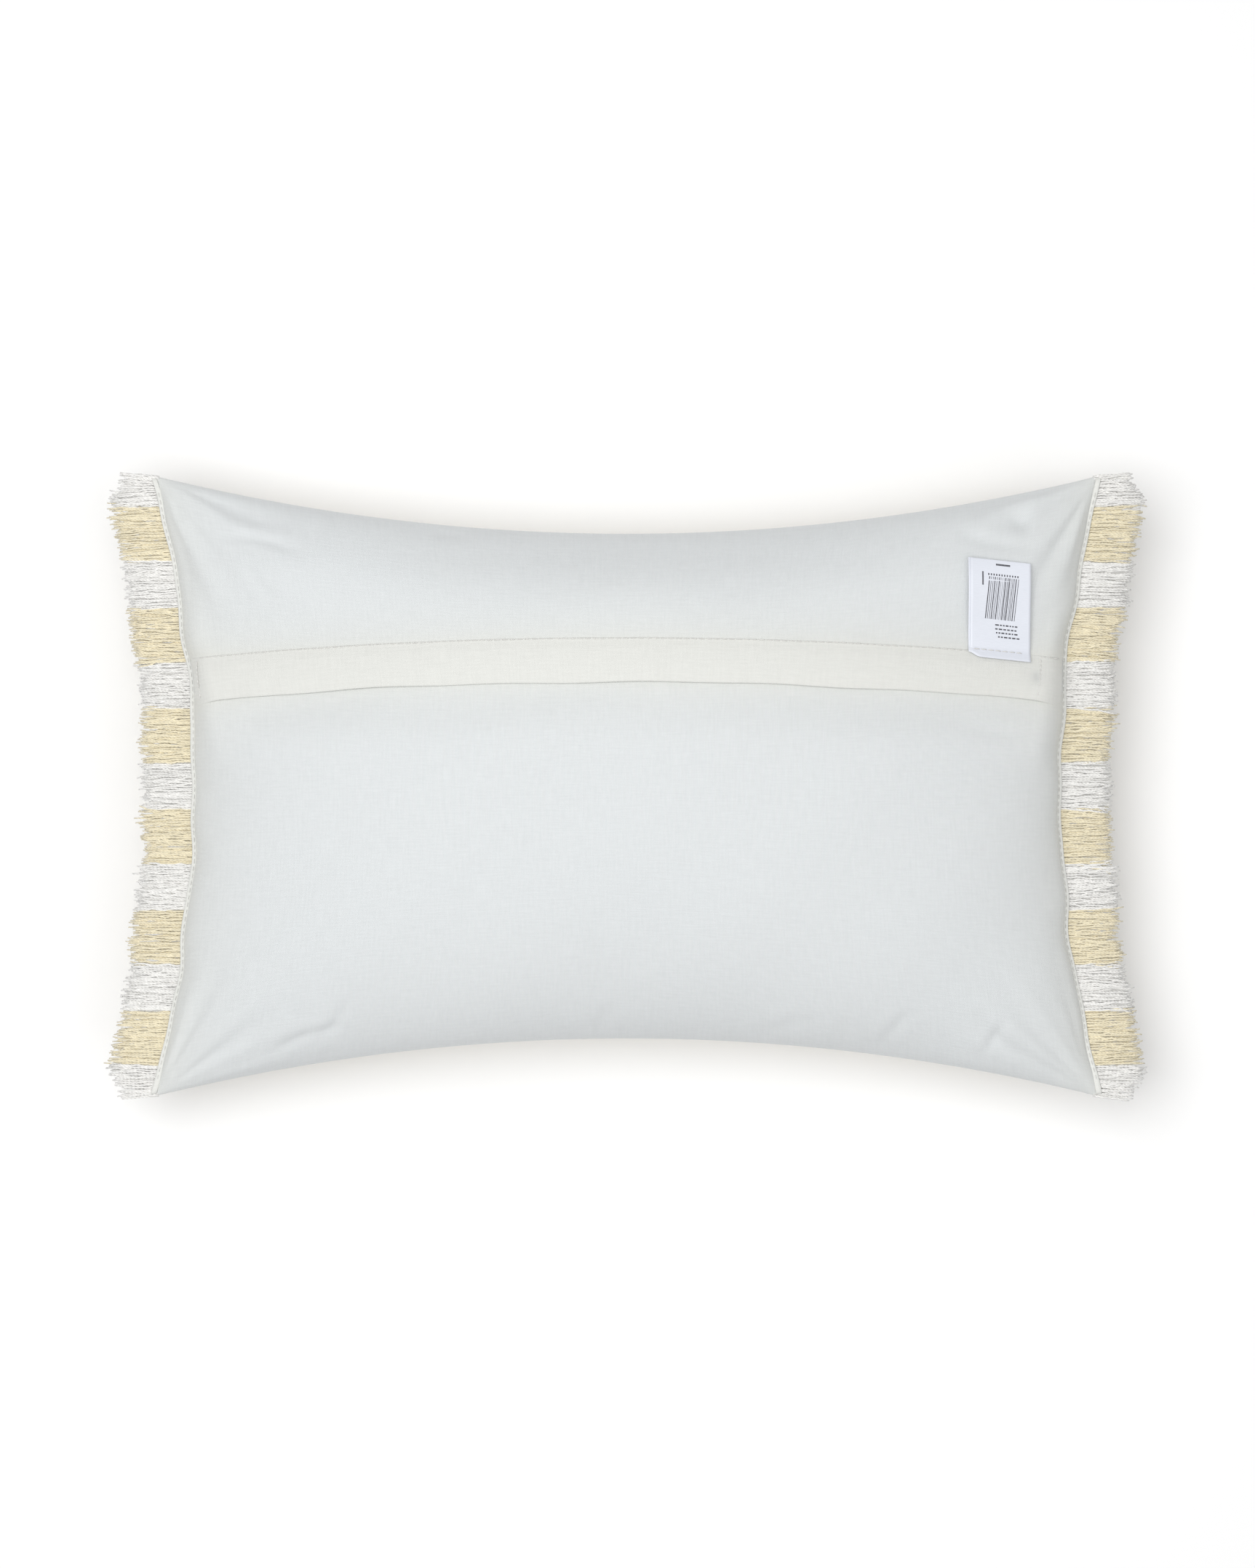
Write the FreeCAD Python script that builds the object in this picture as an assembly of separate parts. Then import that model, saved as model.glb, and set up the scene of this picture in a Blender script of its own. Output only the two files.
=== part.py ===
"""Oblong fringed throw cushion: a zipped cotton cover around a fibre-filled inner cushion.

Millimetres. +X runs along the cushion, +Y across it, +Z up through its thickness. It lies on its
striped front, with the plain back and its placket up. The origin is on the floor, under the centre.
"""

import FreeCAD
import Part

import os
from math import asin, ceil, cos, degrees, exp, pi, radians, sin, sqrt

V = FreeCAD.Vector

# ---- driving sizes -----------------------------------------------------------------------------

COVER_LENGTH = 447.0        # stuffed cover, corner to corner along X, without the fringe
COVER_WIDTH = 294.0         # stuffed cover, corner to corner along Y
END_PINCH = 19.5            # how far each short side pulls in at its middle
SIDE_PINCH = 27.5           # how far each long side pulls in at its middle
SEAM_HEIGHT = 60.0          # floor to the seam that runs round the cushion
BACK_CROWN = 68.0           # seam to the top of the back
FRONT_BELLY = 68.0          # seam to the lowest point that the front would reach with no floor
CROWN_POWER = 2.4           # 2 gives elliptical sections; more gives a flatter crown

CLOTH = 0.7                 # cover cloth
LINING = 0.4                # inner cushion's cloth
PLY_GAP = 0.3               # clearance between plies that lie on each other
SEAM_GAP = 0.1              # between the front's edge and the back's, where they are sewn
SEAM_ALLOWANCE = 9.0        # cloth turned in past the long seams

PLACKET_Y = 58.0            # zip line at mid-length, from the centre
PLACKET_TILT = 11.0         # degrees that the back slopes there
ZIP_RADIUS = 520.0          # radius of the back along the zip line
ZIP_SINK = 4.2              # zip line below the surface of the back
HEM_DIP = 2.2               # how far the lower panel dips at its hem
ZIP_HALF = 195.0            # mid-length to each end of the zip, along X
FLAP_ROOT = 9.6             # zip line to the topstitch that holds the flap
FLAP_EDGE = 10.2            # zip line to the flap's free edge
LOWER_HEM = 6.0             # zip line to the lower panel's folded edge
FLAP_PLY = 1.4              # folded flap, two plies

TAPE_WIDTH = 12.5
TAPE = 0.6
COIL_WIDTH = 2.1
COIL_HEIGHT = 2.1
COIL_GAP = 1.1              # between the two rows of coil, where the slider's post passes
SLIDER_LENGTH = 9.4
SLIDER_WIDTH = 7.8
SLIDER_PLATE = 1.1
SLIDER_CLEAR = 0.35         # slider to chain and tape, all round
SLIDER_AT = 187.5           # slider's rest, along X
CROWN_BAR = 0.7             # bridge over the pull's pin
CROWN_WIDTH = 2.2
PIN_DIAMETER = 1.0
PIN_CLEAR = 0.18
TAB_LENGTH = 21.0           # pin to the end of the pull
TAB_WIDTH = 4.8
TAB_SLOT = 2.2              # width of the slot near the pull's free end

FRINGE_LENGTH = 26.0
FRINGE_DEPTH = 2.4
FRINGE_DROOP = 5.0          # how far the tips hang below the root
STRIPE_PITCH = 47.8         # yellow plus white
YELLOW_STRIPE = 25.7
YELLOW_STRIPES = 6
BAND_GAP = 0.4
LIP_WIDTH = 2.6             # folded edge of the back that stands out over the fringe
LIP_DEPTH = 1.2

LABEL_WIDTH = 29.0
LABEL_LENGTH = 45.0         # stitch to the folded end
LABEL_TAIL = 5.0            # sewn end below the stitch
LABEL_DEPTH = 0.5
LABEL_AT = 173.5            # label's centre line, along X
LABEL_LIFT = 0.6            # label's stand-off from the cloth

STITCH = 2.6                # one stitch
STITCH_PITCH = 3.6
THREAD = 0.35

# ---- the cushion's surface ---------------------------------------------------------------------

HALF_LENGTH = COVER_LENGTH / 2
HALF_WIDTH = COVER_WIDTH / 2
TILT = radians(PLACKET_TILT)
INSERT_INSET = SEAM_ALLOWANCE + CLOTH + 2 * PLY_GAP   # inner cushion's seam, inside the cover's


def smooth(t):
    """0 below 0, 1 above 1, and an even S between."""
    t = min(1.0, max(0.0, t))
    return t * t * (3 - 2 * t)


def plan(u, v, inset=0.0):
    """Point of the outline net: u and v run from -1 to 1, and each side pulls in at its middle."""
    x = u * (HALF_LENGTH - inset - END_PINCH * (1 - v * v))
    y = v * (HALF_WIDTH - inset - SIDE_PINCH * (1 - u * u))
    return x, y


def swell(u, v):
    """Share of the full crown at (u, v): 1 at the centre, 0 on the seam."""
    along = max(0.0, 1 - abs(u) ** CROWN_POWER)
    across = max(0.0, 1 - abs(v) ** CROWN_POWER)
    return sqrt(along) * sqrt(across)


PLACKET_TOP = SEAM_HEIGHT + BACK_CROWN * swell(0, PLACKET_Y / (HALF_WIDTH - SIDE_PINCH))


def zip_line_y(x):
    """The zip line in plan: an arc in a plane that leans with the back."""
    return PLACKET_Y - (ZIP_RADIUS - sqrt(ZIP_RADIUS ** 2 - x * x)) * sin(TILT)


def across_zip(x, y):
    """Distance from the zip line, along the back; positive towards the upper seam."""
    return (y - zip_line_y(x)) / cos(TILT)


def arc_z(x, y, sunk):
    """Height of the leaning cylinder that the zip follows, sunk below the back's surface."""
    radius = ZIP_RADIUS - sunk
    centre_y = PLACKET_Y - ZIP_RADIUS * sin(TILT)
    centre_z = PLACKET_TOP - ZIP_RADIUS * cos(TILT)
    rise = sqrt(radius ** 2 - x * x)
    return centre_z + (rise - (y - centre_y) * sin(TILT)) / cos(TILT)


def back_z(u, v, inset, depth, dips):
    """Height of the back: the swelling, drawn to the zip's cylinder near the placket."""
    x, y = plan(u, v, inset)
    z = SEAM_HEIGHT + (BACK_CROWN - depth) * swell(u, v)
    z += SEAM_GAP
    w = across_zip(x, y)
    near = 1 - smooth((abs(w) - 14) / 40)
    ends = 1 - smooth((abs(u) - 0.93) / 0.07)
    z += near * ends * (arc_z(x, y, depth) - z)
    if dips:
        z -= HEM_DIP * (1 - smooth((-w - 14) / 24)) * ends
    return z


def insert_z(u, v, inset, depth):
    """Height of the inner cushion's back, which the zip presses a soft groove into."""
    x, y = plan(u, v, inset)
    w = across_zip(x, y)
    z = SEAM_HEIGHT + (BACK_CROWN - depth) * swell(u, v)
    near = 1 - smooth((abs(w) - 18) / 42)
    z += near * min(0, arc_z(x, y, depth + 1.5) - z)
    groove = (ZIP_SINK + 6.6) * exp(-((w / 19) ** 2))
    return z - groove * sqrt(swell(u, v))


def front_z(u, v, depth):
    return SEAM_HEIGHT - (FRONT_BELLY - depth) * swell(u, v)


def eased(n):
    """n + 1 values from -1 to 1 that crowd towards both ends, where the surface is steep."""
    return [sin(pi / 2 * (2 * i / n - 1)) for i in range(n + 1)]


# ---- solids from nets of points ----------------------------------------------------------------

def surface(net):
    spline = Part.BSplineSurface()
    spline.interpolate(net)
    return spline


def borders(spline):
    u0, u1, v0, v1 = spline.bounds()
    return [c.toShape() for c in (spline.uIso(u0), spline.vIso(v1), spline.uIso(u1), spline.vIso(v0))]


def closed(faces):
    shell = Part.makeShell(faces)
    shell.sewShape()
    solid = Part.makeSolid(shell if shell.ShapeType == "Shell" else shell.Shells[0])
    if solid.Volume < 0:
        solid.reverse()
    return solid


def slab(upper, lower):
    """The solid between two nets of points, with ruled sides."""
    top, bottom = surface(upper), surface(lower)
    sides = [Part.makeRuledSurface(a, b) for a, b in zip(borders(top), borders(bottom))]
    return closed([top.toShape(), bottom.toShape(), *sides])


def dome(net):
    """The solid between a net whose border is flat and the plane of that border."""
    top = surface(net)
    cap = Part.Face(Part.Wire(Part.__sortEdges__(borders(top))))
    return closed([top.toShape(), cap])


# ---- cover panels ------------------------------------------------------------------------------

def edge_v(u, inset, w):
    """v where the column at u crosses the line that runs beside the zip at w."""
    low, high = -1.0, 1.0
    for _ in range(40):
        middle = (low + high) / 2
        x, y = plan(u, middle, inset)
        low, high = (middle, high) if across_zip(x, y) < w else (low, middle)
    return (low + high) / 2


def back_net(inset, depth, w, seam_v, columns=36, rows=26):
    """Points of a back panel from its long seam, at v = seam_v, to the line at w beside the zip."""
    net = []
    for u in eased(columns):
        edge = edge_v(u, inset, w)
        row = []
        for i in range(rows + 1):
            v = seam_v + (edge - seam_v) * (1 - cos(pi * i / rows)) / 2
            x, y = plan(u, v, inset)
            row.append(V(x, y, back_z(u, v, inset, depth, dips=seam_v < 0)))
        net.append(row)
    return net


def back_panel(w, seam_v):
    return slab(back_net(0, 0, w, seam_v), back_net(CLOTH, CLOTH, w, seam_v))


def placket_end(end):
    """The piece of back that closes the opening between the end of the zip and the end seam."""
    first = (ZIP_HALF + 4) / (HALF_LENGTH - 0.88 * END_PINCH)

    def net(depth):
        rows = []
        for i in range(9):
            u = end * (first + (1 - first) * sin(pi / 16 * i))
            low = edge_v(u, depth, -LOWER_HEM + PLY_GAP)
            high = edge_v(u, depth, FLAP_ROOT - PLY_GAP)
            row = []
            for k in range(9):
                v = low + (high - low) * k / 8
                x, y = plan(u, v, depth)
                row.append(V(x, y, back_z(u, v, depth, depth, dips=False)))
            rows.append(row)
        return rows
    return slab(net(0), net(CLOTH))


def front_dome(inset, depth):
    """Everything inside the front at this depth, cut off level where the floor flattens it."""
    net = [[V(*plan(u, v, inset), front_z(u, v, depth)) for v in eased(24)] for u in eased(32)]
    return dome(net).cut(under_floor(depth))


def under_floor(depth):
    return Part.makeBox(2 * COVER_LENGTH, 2 * COVER_WIDTH, FRONT_BELLY,
                        V(-COVER_LENGTH, -COVER_WIDTH, depth - FRONT_BELLY))


def insert_net(inset, depth):
    return [[V(*plan(u, v, inset), insert_z(u, v, inset, depth)) for v in eased(44)]
            for u in eased(32)]


def insert_dome(inset, depth):
    return dome(insert_net(inset, depth))


def front_panel():
    return front_dome(0, 0).cut(front_dome(CLOTH, CLOTH))


# ---- inner cushion -----------------------------------------------------------------------------

INSERT_DEPTH = CLOTH + PLY_GAP
FILL_DEPTH = INSERT_DEPTH + LINING + PLY_GAP


def insert_half(side):
    inner = INSERT_INSET + LINING
    return side(INSERT_INSET, INSERT_DEPTH).cut(side(inner, INSERT_DEPTH + LINING))


def filling():
    """The fibre, as one body with a narrow rim where the inner cushion's seam closes on it."""
    inset, depth, half_rim = INSERT_INSET + LINING + 1.5, FILL_DEPTH + 0.3, 0.2
    upper = [[p + V(0, 0, half_rim) for p in row] for row in insert_net(inset, depth)]
    lower = [[V(*plan(u, v, inset), front_z(u, v, depth) - half_rim) for v in eased(44)]
             for u in eased(32)]
    return slab(upper, lower).cut(under_floor(FILL_DEPTH))


# ---- along the zip -----------------------------------------------------------------------------

def on_placket(shape):
    """Moves a shape from the zip's own frame, with Y across it and Z out of it, to the back."""
    shape.rotate(V(), V(1, 0, 0), -PLACKET_TILT)
    centre_y = PLACKET_Y - ZIP_RADIUS * sin(TILT)
    shape.translate(V(0, centre_y, PLACKET_TOP - ZIP_RADIUS * cos(TILT)))
    return shape


def angle_at(x):
    """Degrees round the zip's arc at a place along X."""
    return degrees(asin(x / ZIP_RADIUS))


LINE = ZIP_RADIUS - ZIP_SINK     # radius of the zip line, which heights below are counted from


def strip(outline, start, end):
    """Carries an outline of (across, height) points along the zip line from start to end."""
    points = [V(0, w, LINE + h) for w, h in outline]
    face = Part.Face(Part.makePolygon(points + points[:1]))
    face.rotate(V(), V(0, 1, 0), angle_at(start))
    swept = face.revolve(V(), V(0, 1, 0), angle_at(end) - angle_at(start))
    return on_placket(swept)


TAPE_TOP = -2.0
COIL_TOP = TAPE_TOP + COIL_HEIGHT + 0.05
PLATE_UNDER = COIL_TOP + SLIDER_CLEAR
PLATE_TOP = PLATE_UNDER + SLIDER_PLATE
PIN_HEIGHT = PLATE_TOP + PIN_CLEAR + PIN_DIAMETER / 2
CROWN_UNDER = PIN_HEIGHT + PIN_DIAMETER / 2 + PIN_CLEAR
CROWN_TOP = CROWN_UNDER + CROWN_BAR
FLAP_UNDER = CROWN_TOP + PLY_GAP
PANEL_TOP = ZIP_SINK
HEM_TOP = ZIP_SINK - HEM_DIP


def zip_tape(side):
    """Flat beside the coil, then sloping up to the ply that it is sewn to."""
    sewn = (PANEL_TOP if side > 0 else HEM_TOP) - 2 * CLOTH - 2 * PLY_GAP
    turn = SLIDER_WIDTH / 2 + 0.7
    inner = COIL_GAP / 2 + 0.1
    outline = [(inner, TAPE_TOP), (turn, TAPE_TOP), (turn + 4, sewn), (TAPE_WIDTH, sewn)]
    under = [(w, h - TAPE) for w, h in reversed(outline)]
    return strip([(side * w, h) for w, h in outline + under], -ZIP_HALF, ZIP_HALF)


def zip_coil(side):
    """One row of coil, with its corners taken off."""
    inner, outer = COIL_GAP / 2, COIL_GAP / 2 + COIL_WIDTH
    low, high, nip = TAPE_TOP + 0.05, COIL_TOP, 0.5
    outline = [(inner, low + nip), (inner + nip, low), (outer - nip, low), (outer, low + nip),
               (outer, high - nip), (outer - nip, high), (inner + nip, high), (inner, high - nip)]
    return strip([(side * w, h) for w, h in outline], -ZIP_HALF + 2, ZIP_HALF - 2)


def lower_hem():
    """The lower panel's edge, turned under and sewn to the tape."""
    top = HEM_TOP - CLOTH - PLY_GAP
    outline = [(-LOWER_HEM, top), (-TAPE_WIDTH - 1, top),
               (-TAPE_WIDTH - 1, top - CLOTH + 0.1), (-LOWER_HEM, top - CLOTH + 0.1)]
    return strip(outline, -ZIP_HALF, ZIP_HALF)


def flap():
    """Two plies folded at the free edge: they rise over the slider and settle on the lower panel."""
    edge_under = HEM_TOP + PLY_GAP
    hump = SLIDER_WIDTH / 2 + 0.9
    under = [(FLAP_ROOT, PANEL_TOP - FLAP_PLY), (hump + 1.2, FLAP_UNDER), (-hump, FLAP_UNDER),
             (-hump - 2.4, edge_under), (-FLAP_EDGE + 0.5, edge_under)]
    nose = [(-FLAP_EDGE, edge_under + 0.5), (-FLAP_EDGE, edge_under + FLAP_PLY - 0.5)]
    over = [(-FLAP_EDGE + 0.5, edge_under + FLAP_PLY), (-hump - 2.4, edge_under + FLAP_PLY),
            (-hump, FLAP_UNDER + FLAP_PLY), (hump + 1.2, FLAP_UNDER + FLAP_PLY),
            (FLAP_ROOT, PANEL_TOP)]
    return strip(under + nose + over, -ZIP_HALF - 3, ZIP_HALF + 3)


def bartack(x):
    """Thread that closes the end of the zip, across both tapes."""
    half = SLIDER_WIDTH / 2
    outline = [(-half, TAPE_TOP + 0.1), (half, TAPE_TOP + 0.1),
               (half, TAPE_TOP + 1.1), (-half, TAPE_TOP + 1.1)]
    return strip(outline, x - 0.8, x + 0.8)


# ---- slider and pull ---------------------------------------------------------------------------

def at_slider(shape):
    """Moves a shape from the slider's own frame, centred on the zip line, to its rest."""
    shape.translate(V(0, 0, LINE))
    shape.rotate(V(), V(0, 1, 0), angle_at(SLIDER_AT))
    return on_placket(shape)


def centred_box(length, width, bottom, top, x=0.0, y=0.0):
    return Part.makeBox(length, width, top - bottom, V(x - length / 2, y - width / 2, bottom))


def slider():
    """Two plates joined by a post, with a rail on each side of the chain and a bridge on top."""
    tape_under = TAPE_TOP - TAPE
    plate_top = tape_under - SLIDER_CLEAR
    lower = centred_box(SLIDER_LENGTH, SLIDER_WIDTH, plate_top - SLIDER_PLATE, plate_top)
    upper = centred_box(SLIDER_LENGTH, SLIDER_WIDTH, PLATE_UNDER, PLATE_TOP)
    corners = [[e for e in plate.Edges if abs(e.tangentAt(e.FirstParameter).z) > 0.9]
               for plate in (lower, upper)]
    lower, upper = (plate.makeFillet(2.2, edges) for plate, edges in zip((lower, upper), corners))
    rail = SLIDER_WIDTH / 2 - COIL_GAP / 2 - COIL_WIDTH - SLIDER_CLEAR
    rail_length = SLIDER_LENGTH - 4.4
    rails = [centred_box(rail_length, rail, TAPE_TOP + 0.25, PLATE_UNDER + 0.2,
                         y=s * (SLIDER_WIDTH - rail) / 2) for s in (-1, 1)]
    post = centred_box(2.0, COIL_GAP - 0.3, plate_top - 0.2, PLATE_UNDER + 0.2, x=3.0)
    leg = CROWN_BAR + 0.3
    legs = [centred_box(leg, CROWN_WIDTH, PLATE_TOP - 0.2, CROWN_UNDER + 0.1,
                        x=s * (3.4 - leg / 2)) for s in (-1, 1)]
    bridge = centred_box(6.8, CROWN_WIDTH, CROWN_UNDER, CROWN_TOP)
    bridge = bridge.makeFillet(0.5, [e for e in bridge.Edges if e.CenterOfMass.z > CROWN_TOP - 0.01
                               and abs(e.tangentAt(e.FirstParameter).y) > 0.9])
    return at_slider(lower.multiFuse([upper, post, bridge, *rails, *legs]).removeSplitter())


def pull_tab():
    """A pin under the bridge, two arms that pass beside it and a slotted plate."""
    half = PIN_DIAMETER / 2
    pin = Part.makeCylinder(half, TAB_WIDTH, V(0, -TAB_WIDTH / 2, PIN_HEIGHT), V(0, 1, 0))
    arm = (TAB_WIDTH - CROWN_WIDTH) / 2 - 0.3
    eye_end = 4.1
    arms = [centred_box(eye_end, arm, PIN_HEIGHT - half, PIN_HEIGHT + half,
                        x=-eye_end / 2, y=s * (TAB_WIDTH - arm) / 2) for s in (-1, 1)]
    plate = centred_box(TAB_LENGTH - eye_end, TAB_WIDTH, PIN_HEIGHT - half, PIN_HEIGHT + half,
                        x=-(TAB_LENGTH + eye_end) / 2)
    ends = [e for e in plate.Edges if abs(e.tangentAt(e.FirstParameter).z) > 0.9
            and e.CenterOfMass.x < -TAB_LENGTH + 0.1]
    plate = plate.makeFillet(TAB_WIDTH / 2 - 0.2, ends)
    slot = centred_box(7.0, TAB_SLOT, PIN_HEIGHT - 2, PIN_HEIGHT + 2, x=-TAB_LENGTH + 6.2)
    slot = slot.makeFillet(TAB_SLOT / 2 - 0.05,
                           [e for e in slot.Edges if abs(e.tangentAt(e.FirstParameter).z) > 0.9])
    return at_slider(plate.cut(slot).multiFuse([pin, *arms]).removeSplitter())


# ---- fringed ends ------------------------------------------------------------------------------

def stripes():
    """(colour, first v, last v) of each band of the fringe, from the upper corner down."""
    first = (COVER_WIDTH - (YELLOW_STRIPES - 1) * STRIPE_PITCH - YELLOW_STRIPE) / 2
    marks = [0.0]
    for k in range(YELLOW_STRIPES):
        marks += [first + k * STRIPE_PITCH, first + k * STRIPE_PITCH + YELLOW_STRIPE]
    marks.append(COVER_WIDTH)
    colours = ["white", "yellow"] * YELLOW_STRIPES + ["white"]
    return [(c, 1 - 2 * a / COVER_WIDTH, 1 - 2 * b / COVER_WIDTH)
            for c, a, b in zip(colours, marks, marks[1:])]


def beside_seam(end, v, out, z):
    """A point that far outside the end seam, level with the seam plus z."""
    x, y = plan(end, v)
    return V(x + end * out, y, SEAM_HEIGHT + z)


def side_slab(end, first, last, near, far, low, high, droop=0.0, steps=4, columns=6):
    """A strip beside the end seam between two places along it."""
    def net(z):
        rows = []
        for i in range(columns + 1):
            out = near + (far - near) * i / columns
            drop = droop * (out / FRINGE_LENGTH) ** 2
            rows.append([beside_seam(end, first + (last - first) * j / steps, out, z - drop)
                         for j in range(steps + 1)])
        return rows
    return slab(net(high), net(low))


def fringe_band(end, first, last):
    share = BAND_GAP / COVER_WIDTH
    return side_slab(end, first - share, last + share, PLY_GAP, FRINGE_LENGTH,
                     -FRINGE_DEPTH / 2, FRINGE_DEPTH / 2, FRINGE_DROOP)


def lip(end):
    bottom = FRINGE_DEPTH / 2 + PLY_GAP
    return side_slab(end, 0.985, -0.985, PLY_GAP, PLY_GAP + LIP_WIDTH, bottom, bottom + LIP_DEPTH,
                     steps=24, columns=2)


def lip_stitches(end):
    """Stitches that lie along the middle of the lip."""
    count = int(0.96 * COVER_WIDTH / STITCH_PITCH)
    out, height = PLY_GAP + LIP_WIDTH / 2, FRINGE_DEPTH / 2 + PLY_GAP + LIP_DEPTH + 0.1
    stitches = []
    for i in range(count):
        v = (2 * i - count) * STITCH_PITCH / COVER_WIDTH
        stitches.append(bar(beside_seam(end, v, out, height),
                            beside_seam(end, v + 2 * STITCH / COVER_WIDTH, out, height)))
    return Part.makeCompound(stitches)


def bar(a, b):
    """One stitch: a short square bar from a to b, standing on the line that joins them."""
    run = b - a
    box = Part.makeBox(run.Length, THREAD, THREAD, V(0, -THREAD / 2, 0))
    box.Placement = FreeCAD.Placement(a, FreeCAD.Rotation(V(1, 0, 0), run))
    return box


# ---- other sewing ------------------------------------------------------------------------------

def topstitch():
    """The row of stitches that holds the flap's root down on the upper panel's edge."""
    count = ceil(2 * (ZIP_HALF - 2) / STITCH_PITCH)
    at = FLAP_ROOT + 1.2
    radius = ZIP_RADIUS + 0.2
    stitches = []
    for i in range(count):
        x = -ZIP_HALF + 2 + i * STITCH_PITCH
        if abs(x + STITCH / 2 - LABEL_AT) < LABEL_WIDTH / 2 + STITCH:
            continue
        ends = [V(radius * sin(radians(angle_at(t))), at, radius * cos(radians(angle_at(t))))
                for t in (x, x + STITCH)]
        stitches.append(on_placket(bar(*ends)))
    return Part.makeCompound(stitches)


def long_seam_allowance(side):
    """The two raw edges of a long seam, overlocked together inside the cover."""
    def net(z):
        rows = []
        for i in range(25):
            u = 0.9 * (i / 12 - 1)
            near = plan(u, side, CLOTH + PLY_GAP)
            far = plan(u, side, SEAM_ALLOWANCE)
            rows.append([V(near[0] + (far[0] - near[0]) * k / 4,
                           near[1] + (far[1] - near[1]) * k / 4, SEAM_HEIGHT + z)
                         for k in range(5)])
        return rows
    return slab(net(CLOTH), net(-CLOTH))


def closing_stitch():
    """Stitches that close the inner cushion's filling gap, in its lower long seam."""
    count, half = 24, 60.0
    stitches = []
    for i in range(count):
        x = -half + 2 * half * i / (count - 1)
        y = -plan(x / HALF_LENGTH, 1, INSERT_INSET)[1] - PLY_GAP - THREAD
        stitches.append(bar(V(x, y, SEAM_HEIGHT - 1.3), V(x + 1.2, y, SEAM_HEIGHT + 1.3)))
    return Part.makeCompound(stitches)


# ---- care label --------------------------------------------------------------------------------

STITCH_LINE = FLAP_ROOT + 2.0
LABEL_BASE = zip_line_y(LABEL_AT) + STITCH_LINE * cos(TILT)
LABEL_FORESHORTENED = 0.925     # the back slopes away under the label


def net_of(x, y):
    """The (u, v) of a place in plan, by repeated substitution."""
    u, v = x / HALF_LENGTH, y / HALF_WIDTH
    for _ in range(12):
        u = x / (HALF_LENGTH - END_PINCH * (1 - v * v))
        v = y / (HALF_WIDTH - SIDE_PINCH * (1 - u * u))
    return u, v


def label_point(side, out, lift):
    """side runs across the label, out runs up it from the stitch; it lies loosely on the back."""
    x, y = LABEL_AT + side, LABEL_BASE + out * LABEL_FORESHORTENED - 0.09 * side
    loose = 0.02 * out if out > 0 else -0.35 * out
    return V(x, y, back_z(*net_of(x, y), 0, 0, dips=False) + LABEL_LIFT + loose + lift)


def label_slab(start, end, lift=0.0):
    def net(z):
        return [[label_point(LABEL_WIDTH * (i / 6 - 0.5), start + (end - start) * j / 8, z)
                 for j in range(9)] for i in range(7)]
    return slab(net(lift + LABEL_DEPTH), net(lift))


def label_stitches():
    count = int(LABEL_WIDTH / STITCH_PITCH)
    stitches = []
    for i in range(count):
        side = (i - (count - 1) / 2) * STITCH_PITCH
        ends = [label_point(side + s * STITCH / 2, -1.0, LABEL_DEPTH + 0.05) for s in (-1, 1)]
        stitches.append(bar(*ends))
    return Part.makeCompound(stitches)


# ---- the assembly ------------------------------------------------------------------------------

def nodes():
    made = {
        "front_panel": front_panel(),
        "back_panel_upper": back_panel(FLAP_ROOT + 0.2, 1.0),
        "back_panel_lower": back_panel(-LOWER_HEM, -1.0),
        "placket_flap": flap(),
        "placket_topstitch": topstitch(),
        "lower_zip_hem": lower_hem(),
        "zip_tape_upper": zip_tape(1),
        "zip_tape_lower": zip_tape(-1),
        "zip_coil_upper": zip_coil(1),
        "zip_coil_lower": zip_coil(-1),
        "zip_bartack_left": bartack(-ZIP_HALF + 1),
        "zip_bartack_right": bartack(ZIP_HALF - 1),
        "zip_slider": slider(),
        "zip_pull_tab": pull_tab(),
        "long_seam_allowance_top": long_seam_allowance(1),
        "long_seam_allowance_bottom": long_seam_allowance(-1),
        "insert_shell_back": insert_half(insert_dome),
        "insert_shell_front": insert_half(front_dome),
        "insert_filling": filling(),
        "insert_closing_stitch": closing_stitch(),
        "care_label": label_slab(0.4, LABEL_LENGTH),
        "care_label_sewn_end": label_slab(-LABEL_TAIL, 0.0),
        "care_label_stitch": label_stitches(),
    }
    for end, name in ((-1, "left"), (1, "right")):
        made[f"placket_end_{name}"] = placket_end(end)
        made[f"{name}_back_lip"] = lip(end)
        made[f"{name}_lip_stitch"] = lip_stitches(end)
        for i, (colour, first, last) in enumerate(stripes()):
            made[f"{name}_fringe_{colour}_{i // 2 + 1}"] = fringe_band(end, first, last)
    return made


def main():
    os.makedirs("parts", exist_ok=True)
    for name, shape in nodes().items():
        solids = shape.Solids
        good = bool(solids) and all(s.isValid() and s.Volume > 0 for s in solids)
        print(f"{name:28s} solids {len(solids):3d}  cm3 {shape.Volume / 1000:9.3f}  "
              f"{'ok' if good else 'BAD'}")
        whole = solids[0] if len(solids) == 1 else Part.makeCompound(solids)
        whole.exportStep(f"parts/{name}.step")


main()
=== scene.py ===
"""Oblong fringed throw cushion, lying on its striped front with the plain zipped back up."""

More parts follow.
